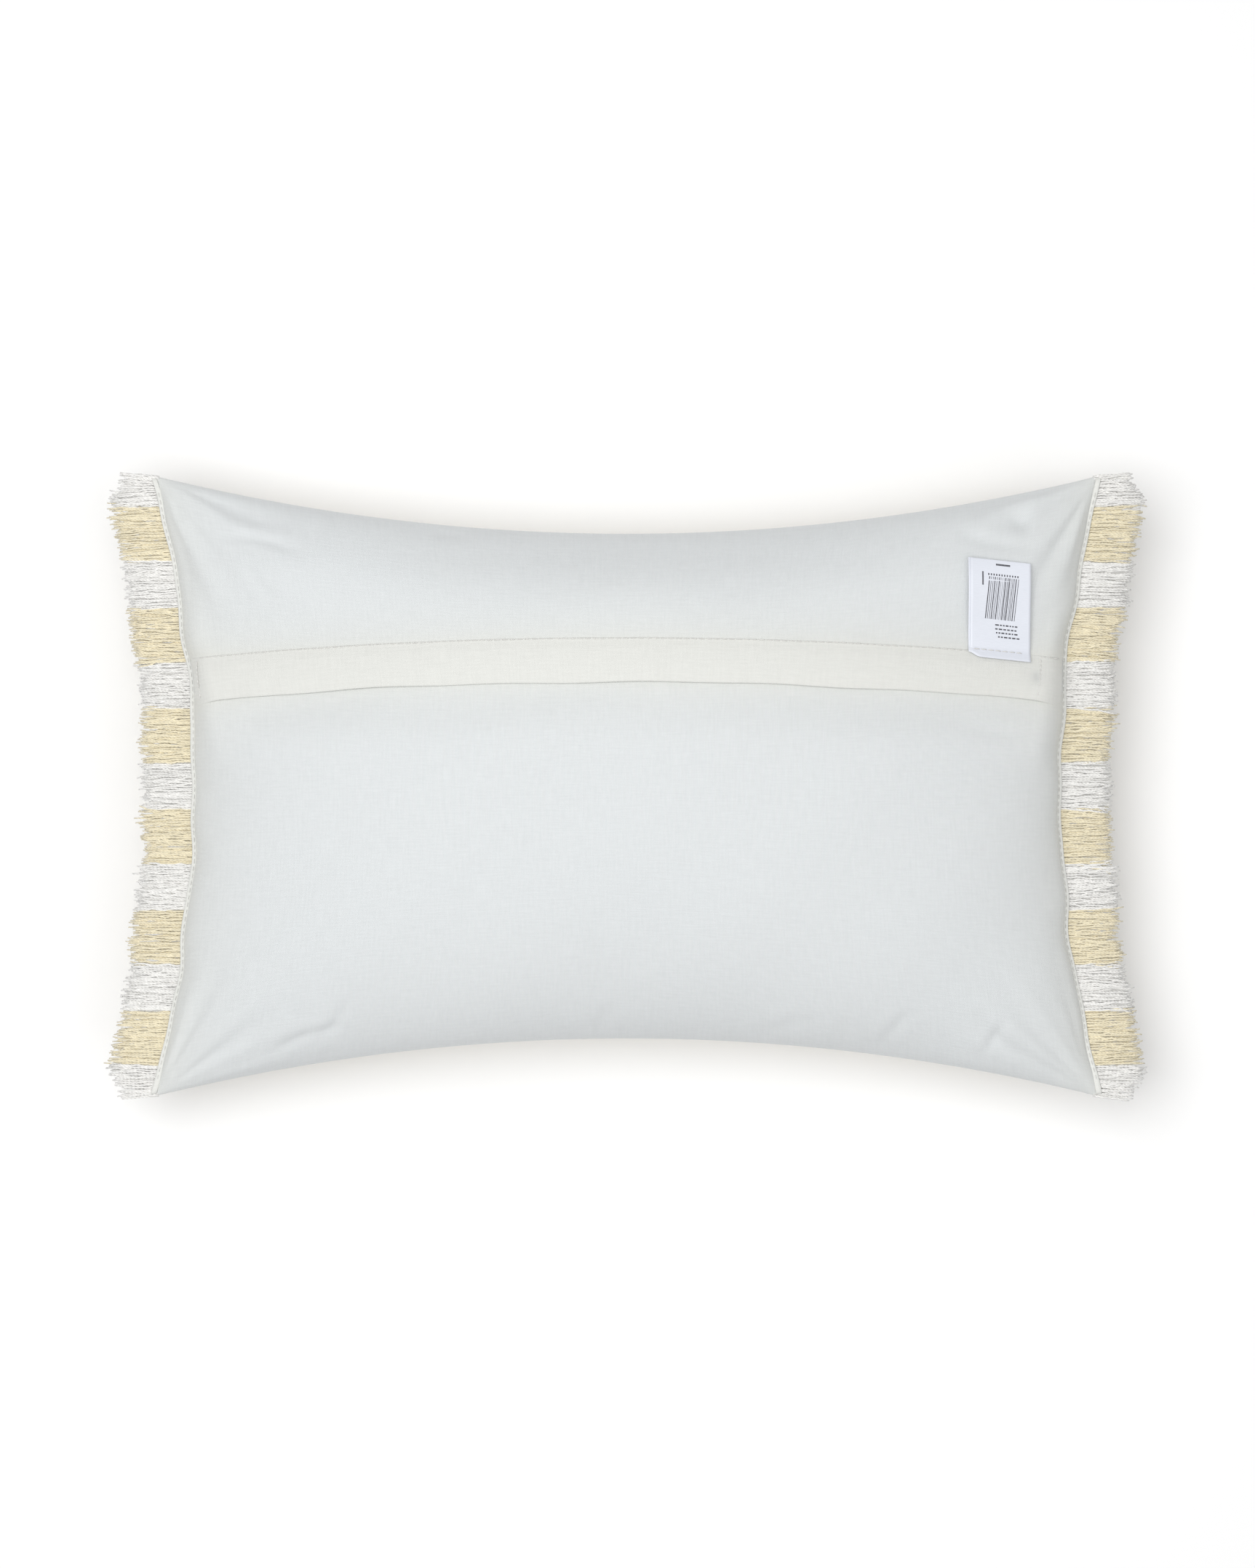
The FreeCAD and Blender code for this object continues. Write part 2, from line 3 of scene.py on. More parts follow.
import bpy
import numpy as np
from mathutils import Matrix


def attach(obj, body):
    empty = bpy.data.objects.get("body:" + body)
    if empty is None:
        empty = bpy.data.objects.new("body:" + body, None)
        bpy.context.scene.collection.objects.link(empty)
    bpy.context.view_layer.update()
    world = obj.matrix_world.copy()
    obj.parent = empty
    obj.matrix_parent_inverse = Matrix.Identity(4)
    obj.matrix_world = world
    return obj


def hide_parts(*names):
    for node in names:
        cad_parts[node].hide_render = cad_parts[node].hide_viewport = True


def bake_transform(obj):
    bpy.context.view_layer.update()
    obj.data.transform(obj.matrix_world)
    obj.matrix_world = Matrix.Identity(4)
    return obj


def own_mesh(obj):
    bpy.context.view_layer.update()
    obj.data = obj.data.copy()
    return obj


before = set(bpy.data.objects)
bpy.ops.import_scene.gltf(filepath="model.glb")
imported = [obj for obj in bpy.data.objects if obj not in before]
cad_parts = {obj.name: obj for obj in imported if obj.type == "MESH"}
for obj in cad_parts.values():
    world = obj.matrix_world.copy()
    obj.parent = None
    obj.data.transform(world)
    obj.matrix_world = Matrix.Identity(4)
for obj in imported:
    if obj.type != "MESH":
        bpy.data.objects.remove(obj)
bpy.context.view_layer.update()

# ---- back panels ----
# The plain back: two pieces of off-white plain-weave cotton on either side of the placket, filled
# tight by the inner cushion, so that all four sides pull in between the corners. The cloth creases
# a little where the fullness runs out into the corners and along the long seams.

HALF_LENGTH, HALF_WIDTH = 223.5, 147.0      # millimetres, as all sizes here until a mesh is made
END_PINCH, SIDE_PINCH = 19.5, 27.5
SEAM_HEIGHT, CROWN, CROWN_POWER = 60.0, 68.0, 2.4
PLACKET_Y, TILT, ZIP_RADIUS, ZIP_SINK = 58.0, np.radians(11.0), 520.0, 4.2
HEM_DIP = 2.2
CLOTH = 0.7


def smooth(t):
    """0 below 0, 1 above 1, and an even S between."""
    t = np.clip(t, 0, 1)
    return t * t * (3 - 2 * t)


def plan(u, v):
    """x is u times the half length less a pinch that is full at v = 0; y the same with v and u."""
    x = u * (HALF_LENGTH - END_PINCH * (1 - v * v))
    y = v * (HALF_WIDTH - SIDE_PINCH * (1 - u * u))
    return x, y


def wander(end, y):
    """How far a short end strays from its even curve: three sines of 28 to 71 mm, up to 1.3 mm."""
    start = 1.1 * end
    stray = np.sin(y / 4.5 + start) * 0.25 + np.sin(y / 7.2 + 2 * start) * 0.5
    stray = stray + np.sin(y / 11.3 - start) * 0.6
    return end * stray


def end_stray(u, y):
    """What wander adds to x, faded in over the last 7 hundredths of u before a short end."""
    return wander(np.sign(u), y) * smooth((np.abs(u) - 0.93) / 0.07)


def net_of(x, y):
    """The (u, v) of a place in plan, by repeated substitution in plan's two formulas."""
    u, v = x / HALF_LENGTH, y / HALF_WIDTH
    for _ in range(14):
        u = x / (HALF_LENGTH - END_PINCH * (1 - v * v))
        v = y / (HALF_WIDTH - SIDE_PINCH * (1 - u * u))
    return u, v


def swell(u, v):
    """Share of the crown: root of 1 - |u|^2.4, times the same of v."""
    along = np.maximum(0, 1 - np.abs(u) ** CROWN_POWER)
    across = np.maximum(0, 1 - np.abs(v) ** CROWN_POWER)
    return np.sqrt(along) * np.sqrt(across)


PLACKET_TOP = SEAM_HEIGHT + CROWN * swell(0.0, PLACKET_Y / (HALF_WIDTH - SIDE_PINCH))


def zip_line_y(x):
    """The zip line in plan: an arc that leans with the back, so that its ends drop towards -Y."""
    return PLACKET_Y - (ZIP_RADIUS - np.sqrt(ZIP_RADIUS ** 2 - x * x)) * np.sin(TILT)


def across_zip(x, y):
    """Distance from the zip line along the back, positive towards the upper seam."""
    return (y - zip_line_y(x)) / np.cos(TILT)


def beside_zip(u, w):
    """The v at which the column at u lies w from the zip line, by repeated substitution."""
    v = np.full(np.broadcast(u, w).shape, 0.4)
    for _ in range(16):
        x = u * (HALF_LENGTH - END_PINCH * (1 - v * v))
        v = (zip_line_y(x) + w * np.cos(TILT)) / (HALF_WIDTH - SIDE_PINCH * (1 - u * u))
    return v


def zip_cylinder_z(x, y):
    """Height of the cylinder that leans with the back and that the placket lies on."""
    centre_y = PLACKET_Y - ZIP_RADIUS * np.sin(TILT)
    centre_z = PLACKET_TOP - ZIP_RADIUS * np.cos(TILT)
    rise = np.sqrt(ZIP_RADIUS ** 2 - x * x)
    return centre_z + (rise - (y - centre_y) * np.sin(TILT)) / np.cos(TILT)


def back_z(u, v, dips):
    """The swelling, drawn to the placket's cylinder near the zip, and dipped at the lower hem."""
    x, y = plan(u, v)
    z = SEAM_HEIGHT + CROWN * swell(u, v)
    w = across_zip(x, y)
    near = 1 - smooth((np.abs(w) - 14) / 40)
    ends = 1 - smooth((np.abs(u) - 0.93) / 0.07)
    z = z + near * ends * (zip_cylinder_z(x, y) - z)
    return z - dips * HEM_DIP * (1 - smooth((-w - 14) / 24)) * ends


def eased(n):
    """n values from -1 to 1 that crowd towards both ends."""
    return np.sin(np.pi / 2 * np.linspace(-1, 1, n))


def crease(x, y, x0, y0, x1, y1, width, depth, bow=0.0):
    """A furrow from one point to another: a bell across it, a half sine along it, and a bow."""
    length = np.hypot(x1 - x0, y1 - y0)
    along = ((x - x0) * (x1 - x0) + (y - y0) * (y1 - y0)) / length ** 2
    side = ((y - y0) * (x1 - x0) - (x - x0) * (y1 - y0)) / length
    t = np.clip(along, 0, 1)
    side = side - bow * np.sin(np.pi * t)
    fall = np.sin(np.pi * t) ** 0.8 * ((along > 0) & (along < 1))
    furrow = np.exp(-(side / width) ** 2) - 0.45 * np.exp(-((side - 1.9 * width) / (1.3 * width)) ** 2)
    return -depth * fall * furrow


def drape(x, y, seed):
    """Slow unevenness of filled cloth: eight crossed sine waves of 60 to 190 mm, about 0.4 mm."""
    rng = np.random.default_rng(seed)
    total = np.zeros_like(x)
    for wave in rng.uniform(60, 190, 8):
        turn, start = rng.uniform(0, 2 * np.pi, 2)
        total += np.sin(2 * np.pi * (x * np.cos(turn) + y * np.sin(turn)) / wave + start)
    return 0.16 * total


def puckers(u, v, seed):
    """Small gathers square to the long seams: sines of 9 to 17 mm that die away inwards over about 11 mm."""
    rng = np.random.default_rng(seed)
    x, y = plan(u, v)
    gap = (1 - np.abs(v)) * (HALF_WIDTH - SIDE_PINCH * (1 - u * u))
    strength = 0.5 + 0.5 * np.sin(x / 37 + rng.uniform(0, 6)) * np.sin(x / 19 + rng.uniform(0, 6))
    ripple = sum(np.sin(2 * np.pi * x / wave + rng.uniform(0, 6)) for wave in (9.0, 12.5, 17.0))
    return 0.26 * ripple * strength * np.exp(-gap / 11) * smooth(gap / 3)


def corner_folds(x, y, seed):
    """Soft folds that run out of each corner along the diagonals and fade in the filled middle."""
    rng = np.random.default_rng(seed)
    total = np.zeros_like(x)
    for sx in (-1, 1):
        for sy in (-1, 1):
            dx, dy = sx * HALF_LENGTH - x, sy * HALF_WIDTH - y
            reach = np.hypot(dx, dy)
            angle = np.arctan2(sy * dy, sx * dx)
            fan = np.sin(angle * rng.uniform(13, 17) + rng.uniform(0, 6))
            fan += 0.6 * np.sin(angle * rng.uniform(24, 30) + rng.uniform(0, 6))
            total += fan * np.exp(-((reach - 42) / 30) ** 2) * smooth(reach / 30)
    return 0.75 * total


def pushed_out(points, amount):
    """Points moved along the grid's own normals, from the cross product of its two slopes."""
    along, across = np.gradient(points, axis=0), np.gradient(points, axis=1)
    normal = np.cross(along, across)
    normal /= np.linalg.norm(normal, axis=2, keepdims=True) + 1e-9
    return points + normal * amount[..., None]


def placed(name, mesh, material):
    """The mesh as a smoothly shaded object of that material, linked to the scene."""
    mesh.polygons.foreach_set("use_smooth", np.ones(len(mesh.polygons), bool))
    mesh.materials.append(material)
    piece = bpy.data.objects.new(name, mesh)
    bpy.context.collection.objects.link(piece)
    return piece


def lay_cloth(name, points, flat, material, ply=CLOTH, flip=False, toned=None):
    """A grid of points (mm) as cloth with that thickness; flat is each point's place in the cut,
    and toned how far each point takes the cloth's second colour."""
    rows, columns = points.shape[:2]
    index = np.arange(rows * columns).reshape(rows, columns)
    quads = np.stack([index[:-1, :-1], index[1:, :-1], index[1:, 1:], index[:-1, 1:]], axis=-1)
    quads = quads.reshape(-1, 4)
    quads = quads[:, ::-1] if flip else quads
    mesh = bpy.data.meshes.new(name)
    mesh.from_pydata(points.reshape(-1, 3) * 0.001, [], quads.tolist())
    mesh.attributes.new("toned", "FLOAT", "POINT").data.foreach_set(
        "value", np.zeros(rows * columns) if toned is None else toned.ravel())
    layer = mesh.uv_layers.new(name="cut")
    layer.data.foreach_set("uv", (flat.reshape(-1, 2)[quads.ravel()] * 0.001).ravel())
    piece = placed(name, mesh, material)
    if ply:
        wall = piece.modifiers.new("ply", "SOLIDIFY")
        wall.thickness = ply * 0.001
        wall.offset = -1
    return piece


def node(tree, kind, **values):
    """One shader node with its plain inputs and settings filled in."""
    made = tree.nodes.new(kind)
    for key, value in values.items():
        if key.startswith("in_"):
            made.inputs[int(key[3:])].default_value = value
        else:
            setattr(made, key, value)
    return made


def woven_cotton(name, colour, thread=0.0008, slub=0.03, relief=0.0002, rough=0.92, stripe=None,
                 second=None):
    """Plain-weave cotton: threads as crossed sines of the cut's own lengths, with slubs that run
    along warp and weft, a faint colour change from thread to thread, and a soft dry sheen."""
    material = bpy.data.materials.new(name)
    material.use_nodes = True
    tree = material.node_tree
    link = tree.links.new
    shader = tree.nodes["Principled BSDF"]
    shader.inputs["Roughness"].default_value = rough
    shader.inputs["Specular IOR Level"].default_value = 0.25
    shader.inputs["Sheen Weight"].default_value = 0.25
    shader.inputs["Sheen Roughness"].default_value = 0.55
    cut = node(tree, "ShaderNodeUVMap", uv_map="cut")
    split = node(tree, "ShaderNodeSeparateXYZ")
    link(cut.outputs[0], split.inputs[0])
    waves = []
    for axis in (0, 1):
        turns = node(tree, "ShaderNodeMath", operation="MULTIPLY", in_1=2 * np.pi / thread)
        link(split.outputs[axis], turns.inputs[0])
        wave = node(tree, "ShaderNodeMath", operation="SINE")
        link(turns.outputs[0], wave.inputs[0])
        waves.append(wave)
    cross = node(tree, "ShaderNodeMath", operation="MULTIPLY")
    link(waves[0].outputs[0], cross.inputs[0])
    link(waves[1].outputs[0], cross.inputs[1])
    slubs = []
    for stretch in ((90.0, 1100.0, 1.0), (1000.0, 80.0, 1.0)):
        place = node(tree, "ShaderNodeMapping", in_3=stretch)
        link(cut.outputs[0], place.inputs[0])
        grain = node(tree, "ShaderNodeTexNoise", in_2=1.0, in_3=2.0, in_4=0.6)
        link(place.outputs[0], grain.inputs[0])
        slubs.append(grain)
    both = node(tree, "ShaderNodeMath", operation="ADD")
    link(slubs[0].outputs[0], both.inputs[0])
    link(slubs[1].outputs[0], both.inputs[1])
    height = node(tree, "ShaderNodeMath", operation="MULTIPLY_ADD", in_1=0.35)
    link(cross.outputs[0], height.inputs[0])
    link(both.outputs[0], height.inputs[2])
    bump = node(tree, "ShaderNodeBump", in_0=0.75)
    bump.inputs["Distance"].default_value = relief
    link(height.outputs[0], bump.inputs["Height"])
    link(bump.outputs[0], shader.inputs["Normal"])
    tone = node(tree, "ShaderNodeMapRange", in_1=0.7, in_2=1.3, in_3=1 - slub, in_4=1 + slub)
    link(both.outputs[0], tone.inputs[0])
    ground = node(tree, "ShaderNodeVectorMath", operation="SCALE")
    if second is not None:
        toned = node(tree, "ShaderNodeAttribute", attribute_name="toned")
        blend = node(tree, "ShaderNodeMix", data_type="RGBA")
        blend.inputs[6].default_value = (*colour, 1)
        blend.inputs[7].default_value = (*second, 1)
        link(toned.outputs["Fac"], blend.inputs[0])
        link(blend.outputs[2], ground.inputs[0])
    elif stripe is None:
        ground.inputs[0].default_value = colour
    else:
        link(stripe(tree, split.outputs[1], colour), ground.inputs[0])
    link(tone.outputs[0], ground.inputs[3])
    link(ground.outputs[0], shader.inputs["Base Color"])
    return material


PLAIN = woven_cotton("plain_cotton", (0.680, 0.704, 0.712), second=(0.700, 0.706, 0.668))
FLAT_LENGTH, FLAT_WIDTH = 225.0, 150.0
ROOT = "cover_and_insert"

BACK_CREASES = [
    # start, end, half width, depth, bow: one row for each crease
    (-192, 118, -150, 108, 2.6, 1.3, 2.0), (-178, 104, -158, 84, 3.0, 0.8, -2.0),
    (-96, 122, -72, 118, 4.0, 1.2, 0.0), (176, 128, 190, 118, 5.0, 1.5, 2.0),
    (150, 120, 196, 112, 3.0, 0.8, -3.0), (-168, -126, -132, -112, 2.6, 1.1, 2.0),
    (-146, -122, -128, -96, 2.4, 0.9, -2.0), (-14, -117, -6, -100, 2.2, 0.7, 1.0),
    (118, -124, 132, -104, 2.6, 0.9, 1.0), (166, -126, 176, -108, 2.4, 0.9, -1.0),
    (186, -128, 160, -104, 3.2, 1.0, 2.0), (60, -118, 90, -108, 3.0, 0.5, 2.0),
    (-60, 44, 30, 38, 6.0, 0.35, 3.0), (-190, 30, -150, 34, 3.4, 0.6, 2.0),
    (150, 30, 196, 24, 3.0, 0.6, -2.0),
]


def back_relief(u, v, x, y):
    """All the unevenness of the back together, fading out at the placket and on the seams."""
    total = drape(x, y, 5) + puckers(u, v, 8) + corner_folds(x, y, 11)
    for mark in BACK_CREASES:
        total = total + crease(x, y, *mark)
    calm = smooth((np.abs(across_zip(x, y) - 1.5) - 12) / 22)
    edge = smooth((1 - np.abs(v)) * 22) * smooth((1 - np.abs(u)) * 30)
    return total * calm * edge


def back_panel(name, w, seam, rows, material):
    """The back between one long seam and the line w beside the zip, as points eased to both."""
    u = eased(261)[:, None]
    share = (1 - np.cos(np.pi * np.linspace(0, 1, rows)[None, :])) / 2
    v = seam + (beside_zip(u, np.full_like(u, w)) - seam) * share
    u = np.broadcast_to(u, v.shape)
    x, y = plan(u, v)
    points = np.stack([x, y, back_z(u, v, 1.0 if seam < 0 else 0.0)], axis=-1)
    points = pushed_out(points, back_relief(u, v, x, y) * (1 if seam < 0 else -1))
    points[..., 0] += end_stray(u, y)
    flat = np.stack([u * FLAT_LENGTH, v * FLAT_WIDTH], axis=-1)
    by_placket = np.exp(-np.maximum(np.abs(across_zip(x, y)) - 10, 0) / 9)
    by_end = np.exp(-(1 - np.abs(u)) * HALF_LENGTH / 16)
    piece = lay_cloth(name + "_cloth", points, flat, material, flip=seam > 0,
                      toned=np.clip(0.75 * by_placket + 0.6 * by_end, 0, 1))
    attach(piece, ROOT)
    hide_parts(name)
    return piece


back_panel("back_panel_lower", -6.0, -1.0, 131, PLAIN)
back_panel("back_panel_upper", 9.8, 1.0, 81, PLAIN)

# ---- front panel ----
# The striped face, woven of white and butter-yellow cotton, lying on the floor and flattened there.
# Its weft runs on past both short seams as the fringe, so the stripes line up with the yarn bands.

STRIPE_PITCH, YELLOW_STRIPE, YELLOW_STRIPES = 47.8, 25.7, 6
YELLOW = (0.800, 0.705, 0.480)


def stripes(tree, across, colour):
    """White ground with yellow bands, from the place across the cut modulo the stripe pitch."""
    link = tree.links.new
    turn = HALF_WIDTH / FLAT_WIDTH
    moved = node(tree, "ShaderNodeMath", operation="MULTIPLY_ADD", in_1=turn,
                 in_2=(STRIPE_PITCH * YELLOW_STRIPES / 2) * 0.001)
    link(across, moved.inputs[0])
    within = node(tree, "ShaderNodeMath", operation="WRAP", in_1=STRIPE_PITCH * 0.001, in_2=0.0)
    link(moved.outputs[0], within.inputs[0])
    off = node(tree, "ShaderNodeMath", operation="SUBTRACT", in_1=STRIPE_PITCH * 0.0005)
    link(within.outputs[0], off.inputs[0])
    size = node(tree, "ShaderNodeMath", operation="ABSOLUTE")
    link(off.outputs[0], size.inputs[0])
    edge = node(tree, "ShaderNodeMapRange", in_1=(YELLOW_STRIPE / 2 + 0.25) * 0.001,
                in_2=(YELLOW_STRIPE / 2 - 0.25) * 0.001)
    link(size.outputs[0], edge.inputs[0])
    mix = node(tree, "ShaderNodeMix", data_type="RGBA")
    mix.inputs[6].default_value = (*colour, 1)
    mix.inputs[7].default_value = (*YELLOW, 1)
    link(edge.outputs[0], mix.inputs[0])
    return mix.outputs[2]


STRIPED = woven_cotton("striped_cotton", (0.780, 0.775, 0.750), thread=0.0011, slub=0.05,
                       relief=0.0003, stripe=stripes)


def front_panel():
    """The belly below the seam, cut off flat and a little uneven where the floor presses it."""
    u, v = np.meshgrid(eased(241), eased(161), indexing="ij")
    x, y = plan(u, v)
    hang = SEAM_HEIGHT - CROWN * swell(u, v)
    relief = drape(x, y, 21) + puckers(u, v, 23) + corner_folds(x, y, 29)
    edge = smooth((1 - np.abs(v)) * 22) * smooth((1 - np.abs(u)) * 30) * smooth(hang / 12)
    points = np.stack([x, y, hang], axis=-1)
    points = pushed_out(points, -relief * edge)
    z = points[..., 2]
    points[..., 2] = np.where(z > 4, z, 4 * np.exp(np.minimum(z - 4, 0) / 4))
    points[..., 2] -= (4 * np.exp(-3.0)) * (1 - smooth(z / 20))
    points[..., 2] = np.maximum(points[..., 2], 0.0)
    points[..., 0] += end_stray(u, y)
    flat = np.stack([u * FLAT_LENGTH, v * FLAT_WIDTH], axis=-1)
    piece = lay_cloth("front_panel_cloth", points, flat, STRIPED, flip=True)
    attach(piece, ROOT)
    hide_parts("front_panel")
    return piece


front_panel()

# ---- placket flap ----
# A double strip of the back's cloth, folded at its lower free edge and held by one row of stitches
# along the top, that hides the zip from one short seam to the other. It is a little creamier than
# the panels, as a strip cut from another lot is.

FLAP_ROOT, FLAP_EDGE, FLAP_PLY = 9.6, 10.2, 1.1
FLAP_HALF, ROUND_HALF = 206.0, 205.0        # half lengths of the flap and of its rounded run
# The flap cloth's second colour is the grey of the painted shade where the slider shows through the flap.
FLAP_CLOTH = woven_cotton("flap_cotton", (0.712, 0.716, 0.683), second=(0.40, 0.41, 0.42))
ACROSS = np.array([0.0, np.cos(TILT), -np.sin(TILT)])


def zip_normal(x):
    """Unit vector out of the placket's cylinder at a place along X."""
    turn = np.arcsin(x / ZIP_RADIUS)
    return np.stack([np.sin(turn), np.cos(turn) * np.sin(TILT), np.cos(turn) * np.cos(TILT)], axis=-1)


def carried(name, rings, material, along, around):
    """A closed outline carried through rings (mm), capped at both ends; along and around are the
    lengths (mm) at each ring and each point, for the cut's own map."""
    count, sides = rings.shape[:2]
    ring, side = np.meshgrid(np.arange(count - 1), np.arange(sides), indexing="ij")
    follow = (side + 1) % sides
    quads = np.stack([ring * sides + side, ring * sides + follow,
                      (ring + 1) * sides + follow, (ring + 1) * sides + side], axis=-1).reshape(-1, 4)
    far = (count - 1) * sides
    faces = quads.tolist() + [list(range(sides))[::-1], list(range(far, far + sides))]
    mesh = bpy.data.meshes.new(name)
    mesh.from_pydata(rings.reshape(-1, 3) * 0.001, [], faces)
    place = np.stack(np.meshgrid(along, around[:sides], indexing="ij"), axis=-1).reshape(-1, 2)
    loops = np.concatenate([quads.ravel(), np.arange(sides)[::-1], np.arange(far, far + sides)])
    mesh.uv_layers.new(name="cut").data.foreach_set("uv", (place[loops] * 0.001).ravel())
    return placed(name, mesh, material)


def placket_flap():
    """A folded strip: its height over the panels, as a smooth run through points across the zip,
    carried between the short seams, with a free edge that wanders by half a millimetre."""
    u = np.linspace(-0.9995, 0.9995, 441)
    over_w = np.linspace(FLAP_ROOT + 0.9, -FLAP_EDGE, 22)
    under_w = over_w[::-1]
    knots_w = np.array([-10.2, -8.6, -7.0, -4.8, 0.0, 4.8, 6.6, 8.4, 10.5])
    knots_h = np.array([-0.55, -0.45, -0.1, 0.85, 1.05, 0.9, 0.55, 0.2, -0.05])
    over_h = np.interp(over_w, knots_w, knots_h)
    over_h = np.convolve(np.pad(over_h, 1, mode="edge"), [0.25, 0.5, 0.25], mode="valid")
    nose_w = np.array([-FLAP_EDGE - 0.28, -FLAP_EDGE - 0.38, -FLAP_EDGE - 0.28])
    nose_h = over_h[-1] + np.array([-0.25, -0.55, -0.85])
    across = np.concatenate([over_w, nose_w, under_w])
    height = np.concatenate([over_h, nose_h, over_h[::-1] - FLAP_PLY])
    turned = smooth((1 - np.abs(u)) / 0.012)[:, None]
    x_mid = u * FLAP_HALF
    stray = 0.35 * np.sin(x_mid / 23) + 0.3 * np.sin(x_mid / 9.7 + 1) + 0.2 * np.sin(x_mid / 51 + 2)
    stray = stray - 2.2 * smooth((np.abs(x_mid) - 190) / 16) - 1.2 * smooth((x_mid - 165) / 30)
    loose = smooth((4 - across) / 13)[None, :]
    w = across[None, :] + stray[:, None] * loose * 0.8
    uu = np.broadcast_to(u[:, None], w.shape)
    v = beside_zip(uu, w)
    x, y = plan(uu, v)
    lift = 0.22 * (np.sin(x_mid / 17 + 2) + np.sin(x_mid / 31))[:, None] * loose
    base = np.stack([x, y, back_z(uu, v, 0.0)], axis=-1)
    h = (height[None, :] + np.maximum(lift, -0.15)) * turned - 0.2 * (1 - turned)
    rings = base + zip_normal(np.clip(x, -ROUND_HALF, ROUND_HALF)) * h[..., None]
    rings[..., 0] += end_stray(uu, y)
    along = u * FLAT_LENGTH
    around = np.concatenate([[0], np.cumsum(np.hypot(np.diff(across), np.diff(height)))])
    piece = carried("placket_flap_cloth", rings, FLAP_CLOTH, along, around)
    # Painted shade: a faint grey mark on the flap where the slider under it shows through the cloth as a
    # soft shadow, a small core in a wider halo.
    slider_shade_core = np.exp(-((x - 190.5) / 2.2) ** 2 - ((w + 0.5) / 2.6) ** 2)
    slider_shade_halo = np.exp(-((x - 189.5) / 6.0) ** 2 - ((w + 1.0) / 5.5) ** 2)
    piece.data.attributes.new("toned", "FLOAT", "POINT").data.foreach_set(
        "value", (0.30 * slider_shade_core + 0.10 * slider_shade_halo).ravel())
    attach(piece, ROOT)
    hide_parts("placket_flap")
    return piece


flap = placket_flap()
centre = np.array([0.0, PLACKET_Y - ZIP_RADIUS * np.sin(TILT), PLACKET_TOP - ZIP_RADIUS * np.cos(TILT)])
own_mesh(flap)

# ---- sewing on the placket ----
# White spun thread: one row of stitches along the top of the flap, and a short row down each end
# that closes the opening. Each stitch sinks at its ends, where the needle pulled it in.

STITCH, STITCH_PITCH = 2.7, 3.4
LABEL_AT, LABEL_WIDTH = 173.5, 29.0
PLACKET_HALF = 206.2                        # x at which the placket meets a short seam
THREAD_WHITE = bpy.data.materials.new("sewing_thread")


def spun_thread(material, colour, pitch):
    """Twisted thread: a slanting ridge from the length along it and the turn round it."""
    material.use_nodes = True
    tree = material.node_tree
    link = tree.links.new
    shader = tree.nodes["Principled BSDF"]
    shader.inputs["Roughness"].default_value = 0.85
    shader.inputs["Specular IOR Level"].default_value = 0.25
    shader.inputs["Sheen Weight"].default_value = 0.5
    cut = node(tree, "ShaderNodeUVMap", uv_map="cut")
    split = node(tree, "ShaderNodeSeparateXYZ")
    link(cut.outputs[0], split.inputs[0])
    along = node(tree, "ShaderNodeMath", operation="MULTIPLY", in_1=2 * np.pi / pitch)
    link(split.outputs[0], along.inputs[0])
    slant = node(tree, "ShaderNodeMath", operation="MULTIPLY_ADD", in_1=4 * np.pi)
    link(split.outputs[1], slant.inputs[0])
    link(along.outputs[0], slant.inputs[2])
    ridge = node(tree, "ShaderNodeMath", operation="SINE")
    link(slant.outputs[0], ridge.inputs[0])
    bump = node(tree, "ShaderNodeBump", in_0=0.5)
    bump.inputs["Distance"].default_value = 0.0002
    link(ridge.outputs[0], bump.inputs["Height"])
    link(bump.outputs[0], shader.inputs["Normal"])
    where = node(tree, "ShaderNodeTexCoord")
    grain = node(tree, "ShaderNodeTexNoise", in_2=420.0, in_3=2.0, in_4=0.6)
    link(where.outputs["Object"], grain.inputs[0])
    # Painted shade: the colour darkens in the grooves of the twist, where the ridge is low.
    groove = node(tree, "ShaderNodeMapRange", in_1=-1.0, in_2=1.0, in_3=0.90, in_4=1.03)
    link(ridge.outputs[0], groove.inputs[0])
    uneven = node(tree, "ShaderNodeMapRange", in_1=0.3, in_2=0.7, in_3=0.90, in_4=1.07)
    link(grain.outputs[0], uneven.inputs[0])
    tone = node(tree, "ShaderNodeMath", operation="MULTIPLY")
    link(groove.outputs[0], tone.inputs[0])
    link(uneven.outputs[0], tone.inputs[1])
    ground = node(tree, "ShaderNodeVectorMath", operation="SCALE", in_0=colour)
    link(tone.outputs[0], ground.inputs[3])
    link(ground.outputs[0], shader.inputs["Base Color"])


spun_thread(THREAD_WHITE, (0.80, 0.79, 0.76), 0.0006)


